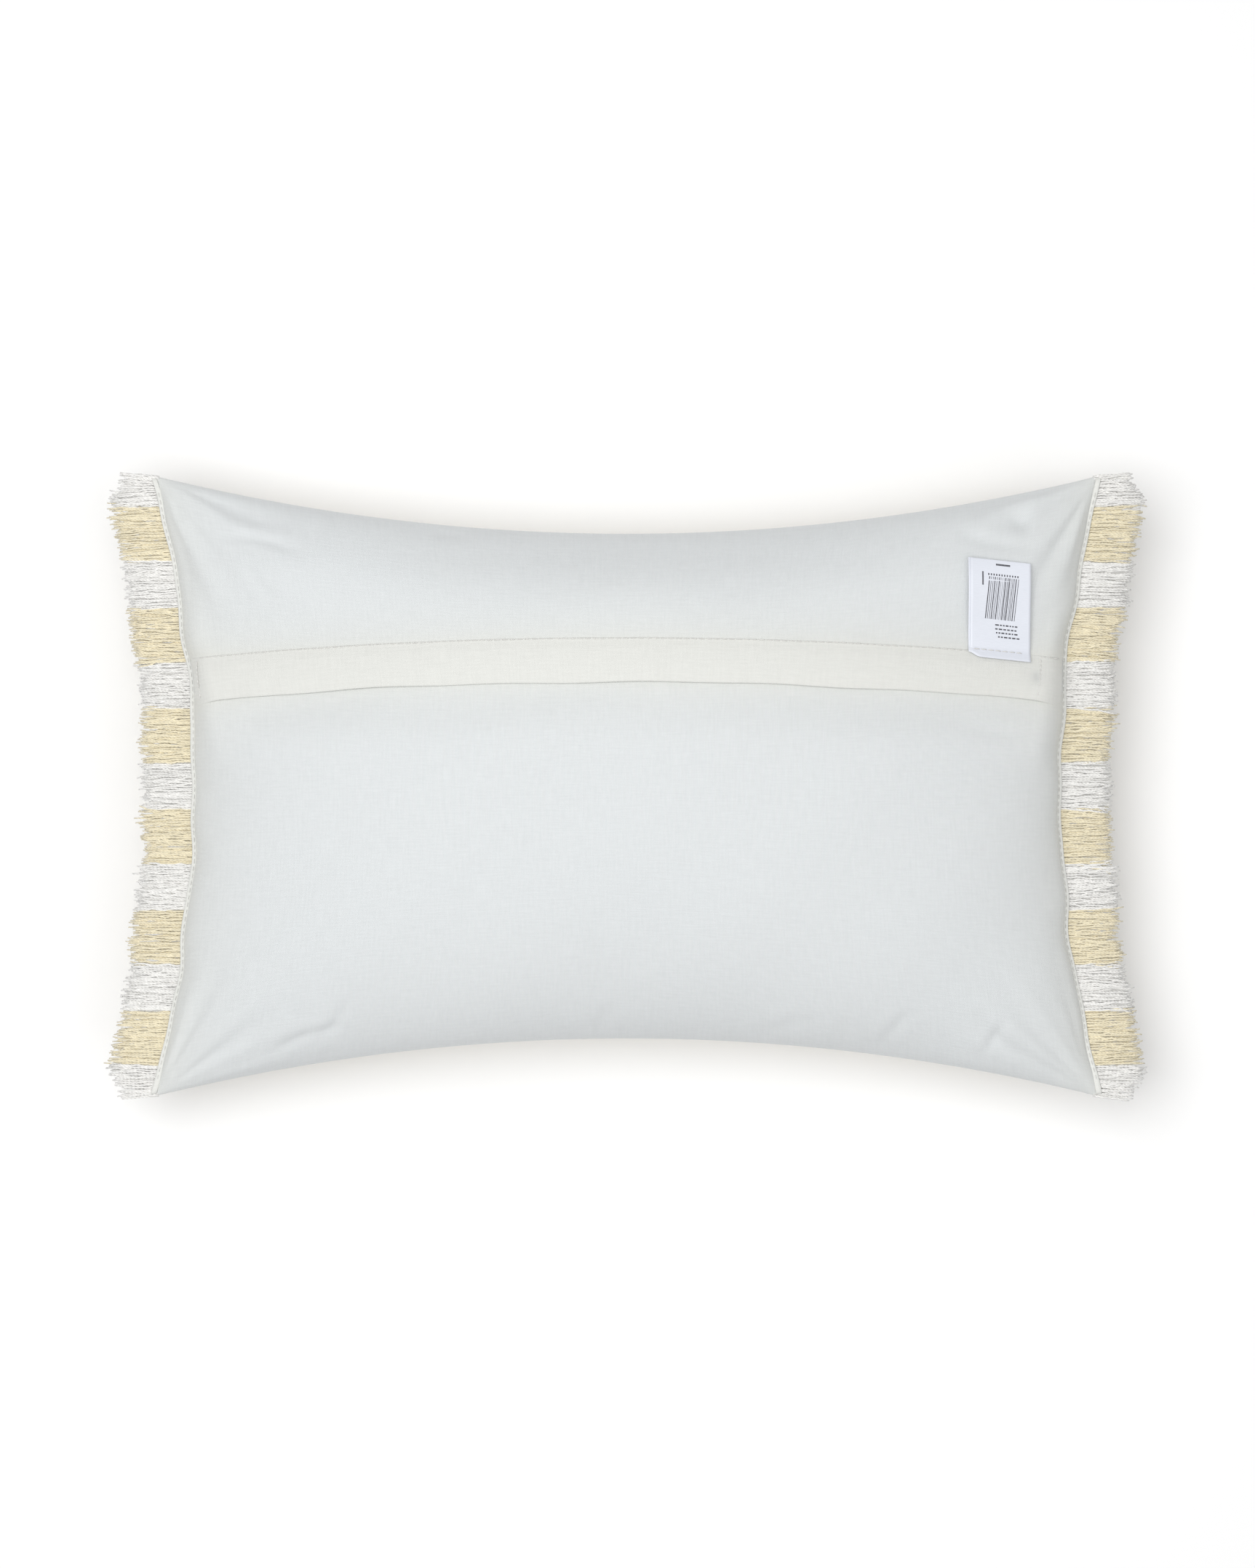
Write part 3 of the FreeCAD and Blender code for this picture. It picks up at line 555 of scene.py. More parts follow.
def strands(name, paths, radii, sides, material, up=(0.0, 0.0, 1.0)):
    """Many round strands in one mesh: paths (strand, point, 3) and radii (strand, point) in mm,
    each ring set square to its path, with both ends capped. The map is length along by turn."""
    count, steps = paths.shape[:2]
    tangent = np.gradient(paths, axis=1)
    tangent /= np.linalg.norm(tangent, axis=2, keepdims=True) + 1e-9
    side = np.cross(tangent, np.broadcast_to(np.asarray(up, float), tangent.shape))
    side /= np.linalg.norm(side, axis=2, keepdims=True) + 1e-9
    top = np.cross(side, tangent)
    turn = 2 * np.pi * np.arange(sides) / sides
    ring = (np.cos(turn)[None, None, :, None] * side[:, :, None, :]
            + np.sin(turn)[None, None, :, None] * top[:, :, None, :])
    points = paths[:, :, None, :] + radii[:, :, None, None] * ring
    base = np.arange(count)[:, None, None] * steps * sides
    j, i = np.meshgrid(np.arange(steps - 1), np.arange(sides), indexing="ij")
    k = (i + 1) % sides
    quads = np.stack([base + j * sides + k, base + j * sides + i,
                      base + (j + 1) * sides + i, base + (j + 1) * sides + k], axis=-1)
    quads = quads.reshape(-1, 4)
    first = (base[:, 0, 0][:, None] + np.arange(sides)[None, :])
    last = first[:, ::-1] + (steps - 1) * sides
    mesh = bpy.data.meshes.new(name)
    mesh.from_pydata(points.reshape(-1, 3) * 0.001, [], quads.tolist() + first.tolist() + last.tolist())
    step = np.linalg.norm(np.diff(paths, axis=1), axis=2)
    length = np.concatenate([np.zeros((count, 1)), np.cumsum(step, axis=1)], axis=1) * 0.001
    length = length + 0.0137 * np.arange(count)[:, None]
    place = np.stack([np.broadcast_to(length[:, :, None], (count, steps, sides)),
                      np.broadcast_to(np.arange(sides) / sides, (count, steps, sides))], axis=-1)
    loops = np.concatenate([quads.ravel(), first.ravel(), last.ravel()])
    mesh.uv_layers.new(name="cut").data.foreach_set("uv", place.reshape(-1, 2)[loops].ravel())
    return placed(name, mesh, material)


def stitched(name, starts, ends, out, thick=0.42):
    """Stitches between pairs of points: five rings that rise in the middle and sink at both ends."""
    t = np.array([0.0, 0.2, 0.5, 0.8, 1.0])[None, :, None]
    sink = np.array([-0.35, 0.12, 0.2, 0.12, -0.35])[None, :, None]
    paths = starts[:, None, :] * (1 - t) + ends[:, None, :] * t + sink * out[:, None, :]
    radii = np.broadcast_to(np.array([0.5, 0.95, 1.0, 0.95, 0.5]) * thick / 2, paths.shape[:2])
    return strands(name, paths, radii, 5, THREAD_WHITE)


def on_back(u, w, height, dips=0.0):
    """Points on the back beside the zip, raised along the placket's normal."""
    v = beside_zip(u, w)
    x, y = plan(u, v)
    base = np.stack([x, y, back_z(u, v, dips)], axis=-1)
    return base + zip_normal(np.clip(x, -ROUND_HALF, ROUND_HALF)) * np.asarray(height)[..., None]


def placket_topstitch():
    """A row at a fixed distance from the zip line, left out where the care label is sewn."""
    x = np.arange(-199, 199, STITCH_PITCH)
    x = x[np.abs(x + STITCH / 2 - LABEL_AT) > LABEL_WIDTH / 2 + 2.5]
    w = FLAP_ROOT + 0.2 + 0.12 * np.sin(x * 1.7)
    lift = np.full_like(x, 0.28)
    starts = on_back(x / PLACKET_HALF, w, lift)
    ends = on_back((x + STITCH) / PLACKET_HALF, w, lift)
    piece = stitched("placket_topstitch_thread", starts, ends, zip_normal(x))
    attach(piece, ROOT)
    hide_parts("placket_topstitch")


placket_topstitch()

for tack, tack_x in (("zip_bartack_left", -200.5), ("zip_bartack_right", 192.0)):
    # a short row down the flap, over the end of the zip
    tack_w = np.arange(-9.0, 8.6, 2.2)
    knots = np.interp(tack_w, [-10.2, -7.0, -4.8, 0.0, 4.8, 8.4], [-0.3, 0.0, 0.9, 1.15, 0.95, 0.25])
    row_x = np.full_like(tack_w, tack_x)
    starts = on_back(row_x / PLACKET_HALF, tack_w, knots)
    ends = on_back(row_x / PLACKET_HALF, tack_w + 1.8, knots)
    down = stitched(tack + "_thread", starts, ends, zip_normal(row_x), thick=0.5)
    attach(down, ROOT)
    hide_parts(tack)
    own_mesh(down)

# ---- zip ----
# A nylon coil zip under the flap: two cotton tapes, each with a row of coil sewn along its edge. The
# lower tape is sewn to the lower panel's turned edge, and the upper one under the flap's root.

ZIP_HALF = 195.0
LINE = ZIP_RADIUS - ZIP_SINK


def along_zip(name, outline, half, material, stations=181, fold=0.0):
    """An outline of (across, height above the zip line) carried round the placket's arc."""
    outline = np.asarray(outline, float)
    x = np.linspace(-half, half, stations)
    reach = (LINE + outline[None, :, 1] + fold * np.sin(x / 3.1)[:, None])[..., None]
    rings = centre + reach * zip_normal(x)[:, None, :] + outline[None, :, :1] * ACROSS
    around = np.concatenate([[0], np.cumsum(np.hypot(*np.diff(outline, axis=0).T))])
    return carried(name, rings, material, x, around)


ZIP_TAPE = woven_cotton("zip_tape", (0.74, 0.72, 0.66), thread=0.0006, slub=0.02)
for side_name, turned, sewn in (("upper", 1, 4.2), ("lower", -1, 2.0)):
    top = sewn - 2.0
    tape_outline = [(0.7, -2.02), (2.6, -2.0), (4.6, -2.0), (6.0, -1.4), (7.6, top - 0.6), (8.8, top),
                    (12.4, top), (12.5, top - 0.28), (12.4, top - 0.55), (8.7, top - 0.55),
                    (7.4, top - 1.2), (6.0, -1.95), (4.6, -2.55), (2.6, -2.56), (0.7, -2.54), (0.6, -2.3)]
    tape_outline = [(turned * w, h) for w, h in tape_outline][::-turned]
    tape = along_zip(f"zip_tape_{side_name}_cloth", tape_outline, ZIP_HALF, ZIP_TAPE)
    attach(tape, ROOT)
    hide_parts("zip_tape_" + side_name)

hem_outline = [(-13.4, 1.0), (-13.5, 0.7), (-13.4, 0.42), (-6.3, 0.42), (-6.05, 0.55), (-6.0, 0.72),
               (-6.05, 0.88), (-6.3, 1.0)]
hem = along_zip("lower_zip_hem_cloth", hem_outline, ZIP_HALF, PLAIN)
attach(hem, ROOT)
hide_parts("lower_zip_hem")


def mottled(name, colour, scale, detail, dark, light):
    """A finish whose tone follows a fine noise: the material, its shader and the noise."""
    material = bpy.data.materials.new(name)
    material.use_nodes = True
    tree = material.node_tree
    link = tree.links.new
    shader = tree.nodes["Principled BSDF"]
    where = node(tree, "ShaderNodeTexCoord")
    grain = node(tree, "ShaderNodeTexNoise", in_2=scale, in_3=detail)
    tone = node(tree, "ShaderNodeMapRange", in_1=0.3, in_2=0.7, in_3=dark, in_4=light)
    ground = node(tree, "ShaderNodeVectorMath", operation="SCALE", in_0=colour)
    link(where.outputs["Object"], grain.inputs[0])
    link(grain.outputs[0], tone.inputs[0])
    link(tone.outputs[0], ground.inputs[3])
    link(ground.outputs[0], shader.inputs["Base Color"])
    return material, shader, grain


COIL, coil_shader, _ = mottled("zip_coil", (0.78, 0.755, 0.70), 260.0, 2.0, 0.93, 1.05)
coil_shader.inputs["Roughness"].default_value = 0.42
for side_name, turned, start in (("upper", 1, 0.0), ("lower", -1, np.pi)):
    # one filament wound into flattened loops, offset by half a turn from the other row
    turns, steps = 260, 10
    t = np.linspace(0, turns, turns * steps + 1)
    x = (2 * t / turns - 1) * (ZIP_HALF - 2.5)
    w = turned * (1.6 - 0.72 * np.cos(2 * np.pi * t + start))
    h = -0.9 + 0.72 * np.sin(2 * np.pi * t)
    path = centre + (LINE + h)[:, None] * zip_normal(x) + w[:, None] * ACROSS
    coil = strands(f"zip_coil_{side_name}_filament", path[None], np.full((1, len(t)), 0.3), 5, COIL,
                   up=(0.3, 0.5, 0.81))
    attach(coil, ROOT)
    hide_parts("zip_coil_" + side_name)

# The slider and its pull are die-cast zinc with a dull nickel plating, speckled by handling. The
# pull hangs on a pin under the slider's bridge.

NICKEL, nickel_shader, nickel_grain = mottled("slider_nickel", (0.56, 0.55, 0.53), 900.0, 4.0, 0.88, 1.06)
nickel_shader.inputs["Metallic"].default_value = 1.0
nickel_rough = node(NICKEL.node_tree, "ShaderNodeMapRange", in_1=0.3, in_2=0.7, in_3=0.26, in_4=0.46)
nickel_bump = node(NICKEL.node_tree, "ShaderNodeBump", in_0=0.25)
nickel_bump.inputs["Distance"].default_value = 0.0001
NICKEL.node_tree.links.new(nickel_grain.outputs[0], nickel_rough.inputs[0])
NICKEL.node_tree.links.new(nickel_rough.outputs[0], nickel_shader.inputs["Roughness"])
NICKEL.node_tree.links.new(nickel_grain.outputs[0], nickel_bump.inputs["Height"])
NICKEL.node_tree.links.new(nickel_bump.outputs[0], nickel_shader.inputs["Normal"])
for cast in ("zip_slider", "zip_pull_tab"):
    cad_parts[cast].data.materials.clear()
    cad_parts[cast].data.materials.append(NICKEL)

# ---- ends of the placket ----
# Past each end of the zip the two panels meet on a small piece of the same cloth, under the flap.

for end, end_name in ((-1, "left"), (1, "right")):
    u_end = np.linspace(0.972, 0.9995, 14)[:, None] * end
    w_end = np.linspace(-5.6, 9.3, 16)[None, :]
    v_end = beside_zip(u_end, w_end)
    u_full = np.broadcast_to(u_end, v_end.shape)
    x_end, y_end = plan(u_full, v_end)
    sunk = 1.6 * smooth((1 - np.abs(u_full)) / 0.01)
    end_points = np.stack([x_end, y_end, back_z(u_full, v_end, 0.0) - sunk], axis=-1)
    end_points[..., 0] += end_stray(u_full, y_end)
    end_flat = np.stack([u_full * FLAT_LENGTH, v_end * FLAT_WIDTH], axis=-1)
    patch = lay_cloth(f"placket_end_{end_name}_cloth", end_points, end_flat, PLAIN, flip=end < 0)
    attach(patch, ROOT)
    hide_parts("placket_end_" + end_name)

# ---- inner cushion ----
# A closed bag of thin white nonwoven cloth filled with loose polyester fibre, sewn shut by a row of
# stitches in its lower long seam. It sits inside the cover and comes out through the zip.

INSERT_INSET = 10.3
NONWOVEN = woven_cotton("insert_nonwoven", (0.82, 0.82, 0.82), thread=0.0004, slub=0.05)
FIBRE = woven_cotton("polyester_fibre", (0.86, 0.86, 0.86), thread=0.0031, slub=0.08, relief=0.0012)


def inner_form(name, inset, depth, lumps, seed, material, *stands_for):
    """A closed cushion: upper and lower nets that share their border, with a groove under the zip
    and the underside pressed flat; lumps is the height of its slow unevenness."""
    u, v = np.meshgrid(eased(121), eased(81), indexing="ij")
    x = u * (HALF_LENGTH - inset - END_PINCH * (1 - v * v))
    y = v * (HALF_WIDTH - inset - SIDE_PINCH * (1 - u * u))
    full = swell(u, v)
    w = across_zip(x, y)
    near = 1 - smooth((np.abs(w) - 18) / 42)
    top = SEAM_HEIGHT + (CROWN - depth) * full
    top = top + near * np.minimum(0, zip_cylinder_z(x, y) - (depth + 1.5) - top)
    top = top - (ZIP_SINK + 6.6) * np.exp(-(w / 19) ** 2) * np.sqrt(full)
    top = top - lumps * np.abs(drape(x, y, seed)) * full
    under = np.maximum(SEAM_HEIGHT - (CROWN - depth) * full, depth)
    inner = np.s_[1:-1, 1:-1]
    rows, columns = u.shape
    upper_index = np.arange(rows * columns).reshape(rows, columns)
    lower_index = upper_index.copy()
    lower_index[inner] = rows * columns + np.arange((rows - 2) * (columns - 2)).reshape(rows - 2, -1)
    points = np.concatenate([np.stack([x, y, top], -1).reshape(-1, 3),
                             np.stack([x, y, under], -1)[inner].reshape(-1, 3)])
    quads = []
    for index, order in ((upper_index, 1), (lower_index, -1)):
        quad = np.stack([index[:-1, :-1], index[1:, :-1], index[1:, 1:], index[:-1, 1:]], axis=-1)
        quads.append(quad.reshape(-1, 4)[:, ::order])
    quads = np.concatenate(quads)
    mesh = bpy.data.meshes.new(name)
    mesh.from_pydata(points * 0.001, [], quads.tolist())
    mesh.uv_layers.new(name="cut").data.foreach_set("uv", (points[quads.ravel()][:, :2] * 0.001).ravel())
    piece = placed(name, mesh, material)
    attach(piece, ROOT)
    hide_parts(*stands_for)
    return piece


inner_form("insert_bag", INSERT_INSET, 1.0, 0.5, 31, NONWOVEN,
                   "insert_shell_back", "insert_shell_front")
inner_form("insert_fibre", INSERT_INSET + 1.9, 2.2, 2.5, 33, FIBRE, "insert_filling")

closing_x = np.linspace(-60, 60, 25)
closing_y = -(HALF_WIDTH - INSERT_INSET - SIDE_PINCH * (1 - (closing_x / HALF_LENGTH) ** 2)) - 0.5
closing = np.stack([closing_x, closing_y, np.full(25, SEAM_HEIGHT - 1.2)], axis=-1)
closing_row = stitched("insert_closing_thread", closing, closing + np.array([1.4, 0.0, 2.4]),
                       np.tile([0.0, -1.0, 0.0], (25, 1)))
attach(closing_row, ROOT)
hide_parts("insert_closing_stitch")

# ---- long seams ----
# The front and back are sewn right sides together along both long edges and turned out. Inside, the
# two raw edges stand in as a soft ruffle.

for seam_name, seam in (("top", 1), ("bottom", -1)):
    seam_u = np.linspace(-0.9, 0.9, 241)[:, None]
    depth = np.linspace(1.2, 9.5, 7)[None, :]
    seam_x = seam_u * HALF_LENGTH
    seam_y = seam * (HALF_WIDTH - SIDE_PINCH * (1 - seam_u ** 2) - depth)
    wave = 0.35 * np.sin(seam_x / 4.3) * smooth((depth - 2) / 6)
    seam_points = np.stack([np.broadcast_to(seam_x, seam_y.shape), seam_y,
                            SEAM_HEIGHT + 0.6 + wave], axis=-1)
    seam_flat = seam_points[..., :2]
    ruffle = lay_cloth(f"long_seam_{seam_name}_ruffle", seam_points, seam_flat, PLAIN, ply=1.2)
    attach(ruffle, ROOT)
    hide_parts("long_seam_allowance_" + seam_name)

# ---- lips over the fringe ----
# At both short ends the back's edge is folded under and topstitched down over the fringe, and it
# stands out from the panel as a narrow raised white rib.

LIP_CLOTH = woven_cotton("lip_cotton", (0.745, 0.748, 0.715), thread=0.0009)
for end, end_name in ((-1, "left"), (1, "right")):
    lip_v = np.linspace(0.992, -0.992, 331)
    lip_x, lip_y = plan(np.full_like(lip_v, end), lip_v)
    lip_x = lip_x + wander(end, lip_y)
    rise = lip_y / 3.4
    pinch = 0.10 * np.cos(2 * np.pi * rise) + 0.15 * np.sin(lip_y / 13) + 0.12 * np.sin(lip_y / 31 + 1)
    turn = np.linspace(0, 2 * np.pi, 13)[:-1]
    out = 0.55 + (1.35 + 0.4 * pinch[:, None]) * np.cos(turn)[None, :]
    high = 1.75 + (0.68 + 0.35 * pinch[:, None]) * np.sin(turn)[None, :]
    close = smooth((1 - np.abs(lip_v)) / 0.02)[:, None]
    rings = np.stack([lip_x[:, None] + end * out, np.broadcast_to(lip_y[:, None], out.shape),
                      SEAM_HEIGHT + high * (0.4 + 0.6 * close)], axis=-1)
    around = np.linspace(0, 8, 13)
    lip = carried(end_name + "_lip_cloth", rings[:, ::-1] if end < 0 else rings, LIP_CLOTH,
                  lip_y, around)
    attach(lip, ROOT)
    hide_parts(end_name + "_back_lip")
    at_y = np.arange(-139, 139, STITCH_PITCH)
    at_x = plan(np.full_like(at_y, end), at_y / HALF_WIDTH)[0] + wander(end, at_y) + end * 0.6
    to_x = (plan(np.full_like(at_y, end), (at_y + STITCH) / HALF_WIDTH)[0]
            + wander(end, at_y + STITCH) + end * 0.6)
    level = np.full_like(at_y, SEAM_HEIGHT + 2.48)
    sewing = stitched(end_name + "_lip_thread", np.stack([at_x, at_y, level], -1),
                      np.stack([to_x, at_y + STITCH, level], -1),
                      np.tile([0.0, 0.0, 1.0], (len(at_y), 1)), thick=0.38)
    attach(sewing, ROOT)
    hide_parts(end_name + "_lip_stitch")

# ---- fringe ----
# The front's own weft left long at both short ends: soft twisted cotton yarns about a millimetre
# thick, butter-yellow and white in turn with the stripes, cut to slightly different lengths.

FRINGE_LENGTH, FRINGE_DROOP = 26.0, 5.0
YELLOW_YARN = bpy.data.materials.new("yellow_yarn")
spun_thread(YELLOW_YARN, (0.860, 0.780, 0.575), 0.0019)
WHITE_YARN = bpy.data.materials.new("white_yarn")
spun_thread(WHITE_YARN, (0.880, 0.870, 0.845), 0.0019)


def locks(y, seed, reach):
    """A smooth wander along the seam by which neighbouring yarns lean or grow together."""
    rng = np.random.default_rng(seed)
    waves = reach * np.array([1.0, 1.7, 2.9])
    return sum(np.sin(2 * np.pi * y / wave + rng.uniform(0, 6)) for wave in waves) / 1.8


def yarns(name, end, top_v, bottom_v, material, seed):
    """Yarns side by side in three layers that lean together in locks, each crimped as two slow
    waves, drooping as the square of its reach and swelling a little where its twist opens."""
    rng = np.random.default_rng(seed)
    span = (top_v - bottom_v) * HALF_WIDTH
    layers, count = 3, max(4, int(round(span / 0.97)))
    root_y = top_v * HALF_WIDTH - (np.arange(count) + 0.5) * span / count
    root_y = np.concatenate([root_y + rng.normal(0, 0.2, count) for _ in range(layers)])
    layer = np.repeat(np.arange(layers), count)
    n = len(root_y)
    corner = smooth((HALF_WIDTH - np.abs(root_y)) / 13)
    grown = FRINGE_LENGTH - 0.4 + 0.75 * locks(root_y, 40 + end, 7.0) * (0.5 + 0.25 * layer)
    uneven = rng.normal(0, 1.05, n) - 3.4 * rng.random(n) ** 4 + 1.6 * rng.random(n) ** 6
    length = (grown + uneven) * (0.62 + 0.38 * corner)
    t = np.linspace(0, 1, 10)[None, :]
    reach = -2.0 + (length[:, None] + 2.0) * t
    stray = (rng.random(n) < 0.06)[:, None]
    lean = 1.1 * locks(root_y + 40 * layer, 50 + end, 9.0)[:, None] * t ** 1.6
    lean = lean + rng.normal(0, 0.75, (n, 1)) * t + stray * rng.normal(0, 2.4, (n, 1)) * t ** 2
    lean = lean + np.sign(root_y)[:, None] * (1 - corner[:, None]) * 1.2 * t
    crimp = sum(rng.uniform(0.05, high, (n, 1)) * np.sin(
        2 * np.pi * (reach / wave + rng.random((n, 1)))) for wave, high in ((5.5, 0.24), (12.0, 0.4)))
    rise = rng.uniform(0.05, 0.35, (n, 1)) * np.sin(
        2 * np.pi * (t * rng.uniform(0.8, 2.4, (n, 1)) + rng.random((n, 1))))
    settle = smooth(t * 4)
    root_x = plan(np.full(n, float(end)), root_y / HALF_WIDTH)[0] + wander(end, root_y)
    z = (SEAM_HEIGHT + (layer[:, None] - 1) * 0.72 + rise * settle
         - FRINGE_DROOP * (np.maximum(reach, 0) / FRINGE_LENGTH) ** 2 + stray * 0.8 * t)
    paths = np.stack([root_x[:, None] + end * reach, root_y[:, None] + lean + crimp * settle, z], axis=-1)
    radii = np.array([0.50, 0.52, 0.51, 0.50, 0.51, 0.50, 0.50, 0.47, 0.44, 0.30])[None, :]
    radii = radii * rng.uniform(0.84, 1.16, (n, 1))
    piece = strands(name + "_yarns", paths, radii, 5, material)
    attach(piece, ROOT)
    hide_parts(name)
    return piece


margin = (2 * HALF_WIDTH - (YELLOW_STRIPES - 1) * STRIPE_PITCH - YELLOW_STRIPE) / 2
marks = [0.0]
for band in range(YELLOW_STRIPES):
    marks += [margin + band * STRIPE_PITCH, margin + band * STRIPE_PITCH + YELLOW_STRIPE]
marks.append(2 * HALF_WIDTH)
for end, end_name in ((-1, "left"), (1, "right")):
    for band, (first, last) in enumerate(zip(marks, marks[1:])):
        colour_name = ("white", "yellow")[band % 2]
        yarns(f"{end_name}_fringe_{colour_name}_{band // 2 + 1}", end, 1 - first / HALF_WIDTH,
              1 - last / HALF_WIDTH, (WHITE_YARN, YELLOW_YARN)[band % 2], 100 + 20 * end + band)

# ---- care label ----
# A loop of white satin ribbon, folded at its free end and sewn down across the placket's stitching,
# with a short raw tail below the stitch. Its print is a plain dark rule, a block of bars and rows of
# dashes, none of which can be read.

LABEL_LENGTH, LABEL_TAIL = 45.0, 5.0
LABEL_BASE = zip_line_y(LABEL_AT) + (FLAP_ROOT + 2.0) * np.cos(TILT)


def satin():
    """White satin: a smooth bluish white with a soft sheen and fine ribs across the ribbon."""
    material = bpy.data.materials.new("label_satin")
    material.use_nodes = True
    tree = material.node_tree
    link = tree.links.new
    shader = tree.nodes["Principled BSDF"]
    shader.inputs["Roughness"].default_value = 0.48
    shader.inputs["Sheen Weight"].default_value = 0.3
    cut = node(tree, "ShaderNodeUVMap", uv_map="cut")
    ribs = node(tree, "ShaderNodeMapping", in_3=(300.0, 3500.0, 1.0))
    grain = node(tree, "ShaderNodeTexNoise", in_2=1.0, in_3=2.0)
    bump = node(tree, "ShaderNodeBump", in_0=0.3)
    bump.inputs["Distance"].default_value = 0.0001
    tone = node(tree, "ShaderNodeMapRange", in_1=0.3, in_2=0.7, in_3=0.97, in_4=1.03)
    ground = node(tree, "ShaderNodeVectorMath", operation="SCALE", in_0=(0.725, 0.75, 0.815))
    link(cut.outputs[0], ribs.inputs[0])
    link(ribs.outputs[0], grain.inputs[0])
    link(grain.outputs[0], bump.inputs["Height"])
    link(bump.outputs[0], shader.inputs["Normal"])
    link(grain.outputs[0], tone.inputs[0])
    link(tone.outputs[0], ground.inputs[3])
    link(ground.outputs[0], shader.inputs["Base Color"])
    return material


def label_ink():
    """Soft black print, worn a little thin in places."""
    ink, shader, _ = mottled("label_print", (0.10, 0.10, 0.115), 700.0, 3.0, 0.6, 1.5)
    shader.inputs["Roughness"].default_value = 0.7
    return ink


def on_label(side, out, lift):
    """Places on the label: side across it, out up from the stitch, lift off the back."""
    x = LABEL_AT + side
    y = LABEL_BASE + out * 0.925 - 0.09 * side
    loose = np.where(out > 0, 0.02 * out + 0.5 * np.sin(np.clip(out, 0, 45) / 45 * np.pi), -0.35 * out)
    curl = 0.004 * side ** 2 * smooth(out / 20)
    z = back_z(*net_of(x, y), 0.0) + 0.75 + loose + curl + lift
    return np.stack([x, y, z], axis=-1)


def care_label():
    """One ribbon: up the rear leaf, round the fold and down the front leaf, as a single grid."""
    leaf_rows, fold_at = 46, LABEL_LENGTH - 0.9
    rear = np.linspace(-LABEL_TAIL, fold_at, leaf_rows)
    front = rear[::-1]
    fold = np.linspace(-np.pi / 2, np.pi / 2, 9)[1:-1]
    out = np.concatenate([rear, fold_at + 0.55 * np.cos(fold), front])
    lift = np.concatenate([np.zeros(leaf_rows), 0.5 + 0.5 * np.sin(fold), np.ones(leaf_rows)])
    lift = lift * smooth((out + 1.5) / 6) * 0.75 + np.where(lift > 0.5, 0.22, 0.0)
    side = np.linspace(-LABEL_WIDTH / 2, LABEL_WIDTH / 2, 25)
    out_grid, side_grid = np.meshgrid(out, side, indexing="ij")
    lift_grid = np.broadcast_to(lift[:, None], out_grid.shape)
    shift = np.where(np.arange(len(out)) < leaf_rows + 4, -0.7, 0.25)[:, None]
    corner = smooth((-side_grid - 9.0) / 6) * smooth(-(out_grid + 0.5) / 2.5)
    points = on_label(side_grid + shift, out_grid + corner * 2.3, lift_grid)
    reach = np.concatenate([[0], np.cumsum(np.abs(np.diff(out)) + 0.1)])
    flat = np.stack([side_grid, np.broadcast_to(reach[:, None], out_grid.shape)], axis=-1)
    return lay_cloth("care_label_ribbon", points, flat, satin(), ply=0.16), reach[-1]


def label_print(ink):
    """Marks as thin strips just over the front leaf: each is (side, out, half width, half length,
    slant), laid on the same curve as the label."""
    rng = np.random.default_rng(7)
    marks = [(1.0, 42.2, 3.4, 0.45, 0.0), (-8.7, 34.7, 0.35, 3.4, 0.0)]
    place = -6.4
    while place < 8.2:
        thick = rng.choice([0.09, 0.09, 0.14, 0.24])
        marks.append((place, 25.3, thick, 10.6, 0.03))
        place += 2 * thick + rng.choice([0.32, 0.42, 0.62])
    for tick in range(12):
        marks.append((-5.9 + 1.27 * tick, 37.0, 0.3, 0.5, 0.0))
    for row, out_row in enumerate((12.0, 10.0, 8.1, 6.1)):
        start = (-2.6, -2.6, -2.2, -1.2)[row]
        while start < 8.0:
            dash = rng.uniform(0.35, 0.9)
            marks.append((start + dash, out_row, dash, 0.36, 0.0))
            start += 2 * dash + 0.5
    marks = np.array(marks)
    step = np.linspace(-1, 1, 7)
    flank = np.linspace(-1, 1, 3)
    out = marks[:, 1, None, None] + marks[:, 3, None, None] * step[None, :, None] * np.ones((1, 1, 3))
    side = (marks[:, 0, None, None] + marks[:, 2, None, None] * flank[None, None, :]
            + marks[:, 4, None, None] * (out - marks[:, 1, None, None]) * 3)
    points = on_label(side + 0.25, out, 1.0)
    each = np.arange(21).reshape(7, 3)
    quad = np.stack([each[:-1, :-1], each[:-1, 1:], each[1:, 1:], each[1:, :-1]], -1).reshape(-1, 4)
    quads = (np.arange(len(marks))[:, None, None] * each.size + quad[None]).reshape(-1, 4)
    mesh = bpy.data.meshes.new("care_label_print")
    mesh.from_pydata(points.reshape(-1, 3) * 0.001, [], quads.tolist())
    return placed("care_label_print", mesh, ink)


label, label_cut = care_label()
printed = label_print(label_ink())
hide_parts("care_label", "care_label_sewn_end")
for ribbon in (label, printed):
    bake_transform(ribbon)

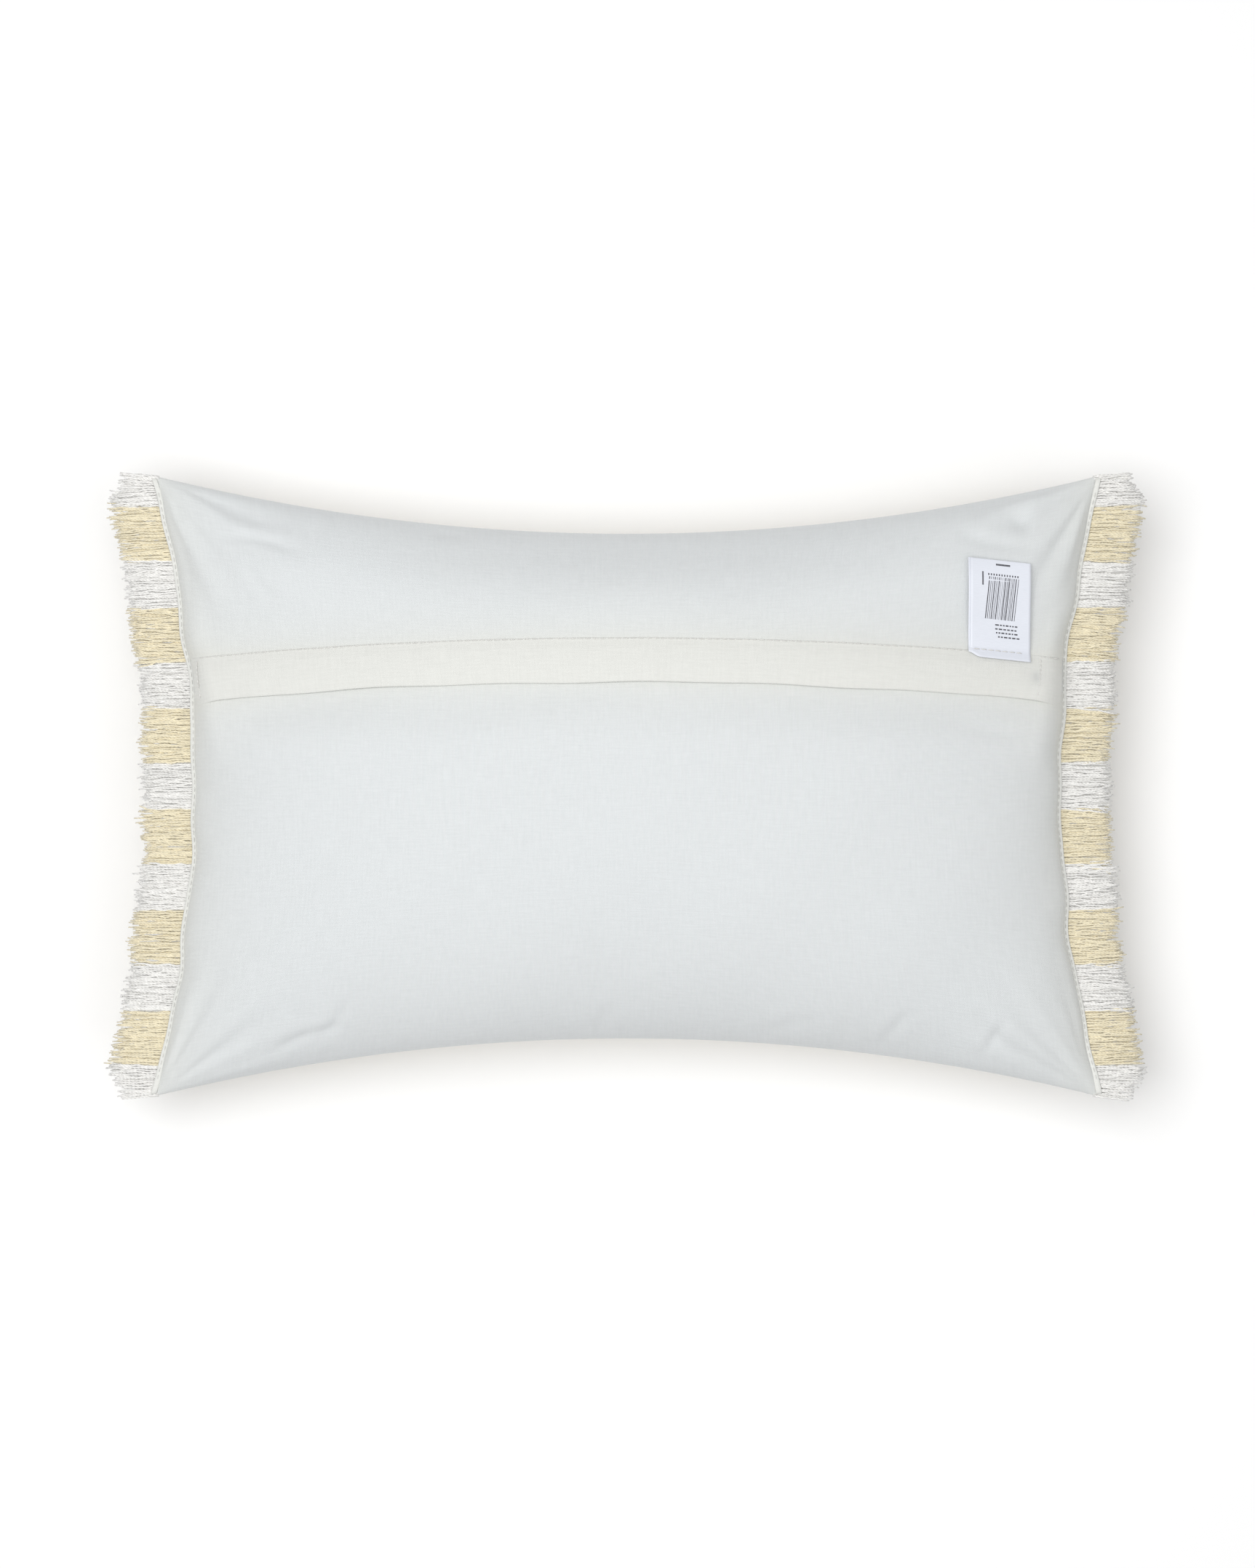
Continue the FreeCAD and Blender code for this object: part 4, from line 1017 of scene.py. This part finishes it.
label_x = np.arange(-12.6, 11.0, STITCH_PITCH)
label_row = stitched("care_label_thread", on_label(label_x, np.full_like(label_x, -1.0), 0.6),
                     on_label(label_x + STITCH, np.full_like(label_x, -1.0), 0.6),
                     np.tile([0.0, 0.2, 0.98], (len(label_x), 1)), thick=0.5)
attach(label_row, ROOT)
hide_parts("care_label_stitch")

# ---- floor, light and camera ----
# A plain pale floor, a broad soft lamp high over the cushion's left and a weaker one to its right,
# and a long lens straight above, so that the cushion is seen square on.

floor_mesh = bpy.data.meshes.new("floor")
floor_mesh.from_pydata([(-3, -3, 0), (3, -3, 0), (3, 3, 0), (-3, 3, 0)], [], [(0, 1, 2, 3)])
floor = bpy.data.objects.new("floor", floor_mesh)
bpy.context.collection.objects.link(floor)
floor_paint = bpy.data.materials.new("pale_floor")
floor_paint.use_nodes = True
floor_paint.node_tree.nodes["Principled BSDF"].inputs["Base Color"].default_value = (0.93, 0.93, 0.93, 1)
floor_paint.node_tree.nodes["Principled BSDF"].inputs["Roughness"].default_value = 0.9
floor_mesh.materials.append(floor_paint)

world = bpy.data.worlds.new("studio")
bpy.context.scene.world = world
world.use_nodes = True
world.node_tree.nodes["Background"].inputs[0].default_value = (1.0, 1.0, 1.0, 1)
world.node_tree.nodes["Background"].inputs[1].default_value = 0.42

for lamp_name, spot, size, watts in (("key", (-0.45, 0.15, 1.95), 1.3, 27.0),
                                     ("fill", (0.9, -0.4, 1.9), 1.6, 9.0)):
    lamp = bpy.data.lights.new(lamp_name, "AREA")
    lamp.size = size
    lamp.energy = watts
    stand = bpy.data.objects.new(lamp_name, lamp)
    stand.location = spot
    aim = np.array(spot) / np.linalg.norm(spot)
    stand.rotation_euler = (np.arccos(aim[2]), 0.0, np.arctan2(aim[1], aim[0]) + np.pi / 2)
    bpy.context.collection.objects.link(stand)

bpy.context.scene.view_settings.view_transform = "Standard"
VIEW_WIDTH = 0.5948                         # metres seen across at the height of the seams
lens = bpy.data.cameras.new("camera")
lens.lens = 100.0
lens.sensor_width = 36.0
lens.sensor_fit = "HORIZONTAL"
camera = bpy.data.objects.new("camera", lens)
camera_height = SEAM_HEIGHT * 0.001 + VIEW_WIDTH * lens.lens / lens.sensor_width
camera.location = (0.0003, 0.0010, camera_height)
bpy.context.collection.objects.link(camera)
bpy.context.scene.camera = camera
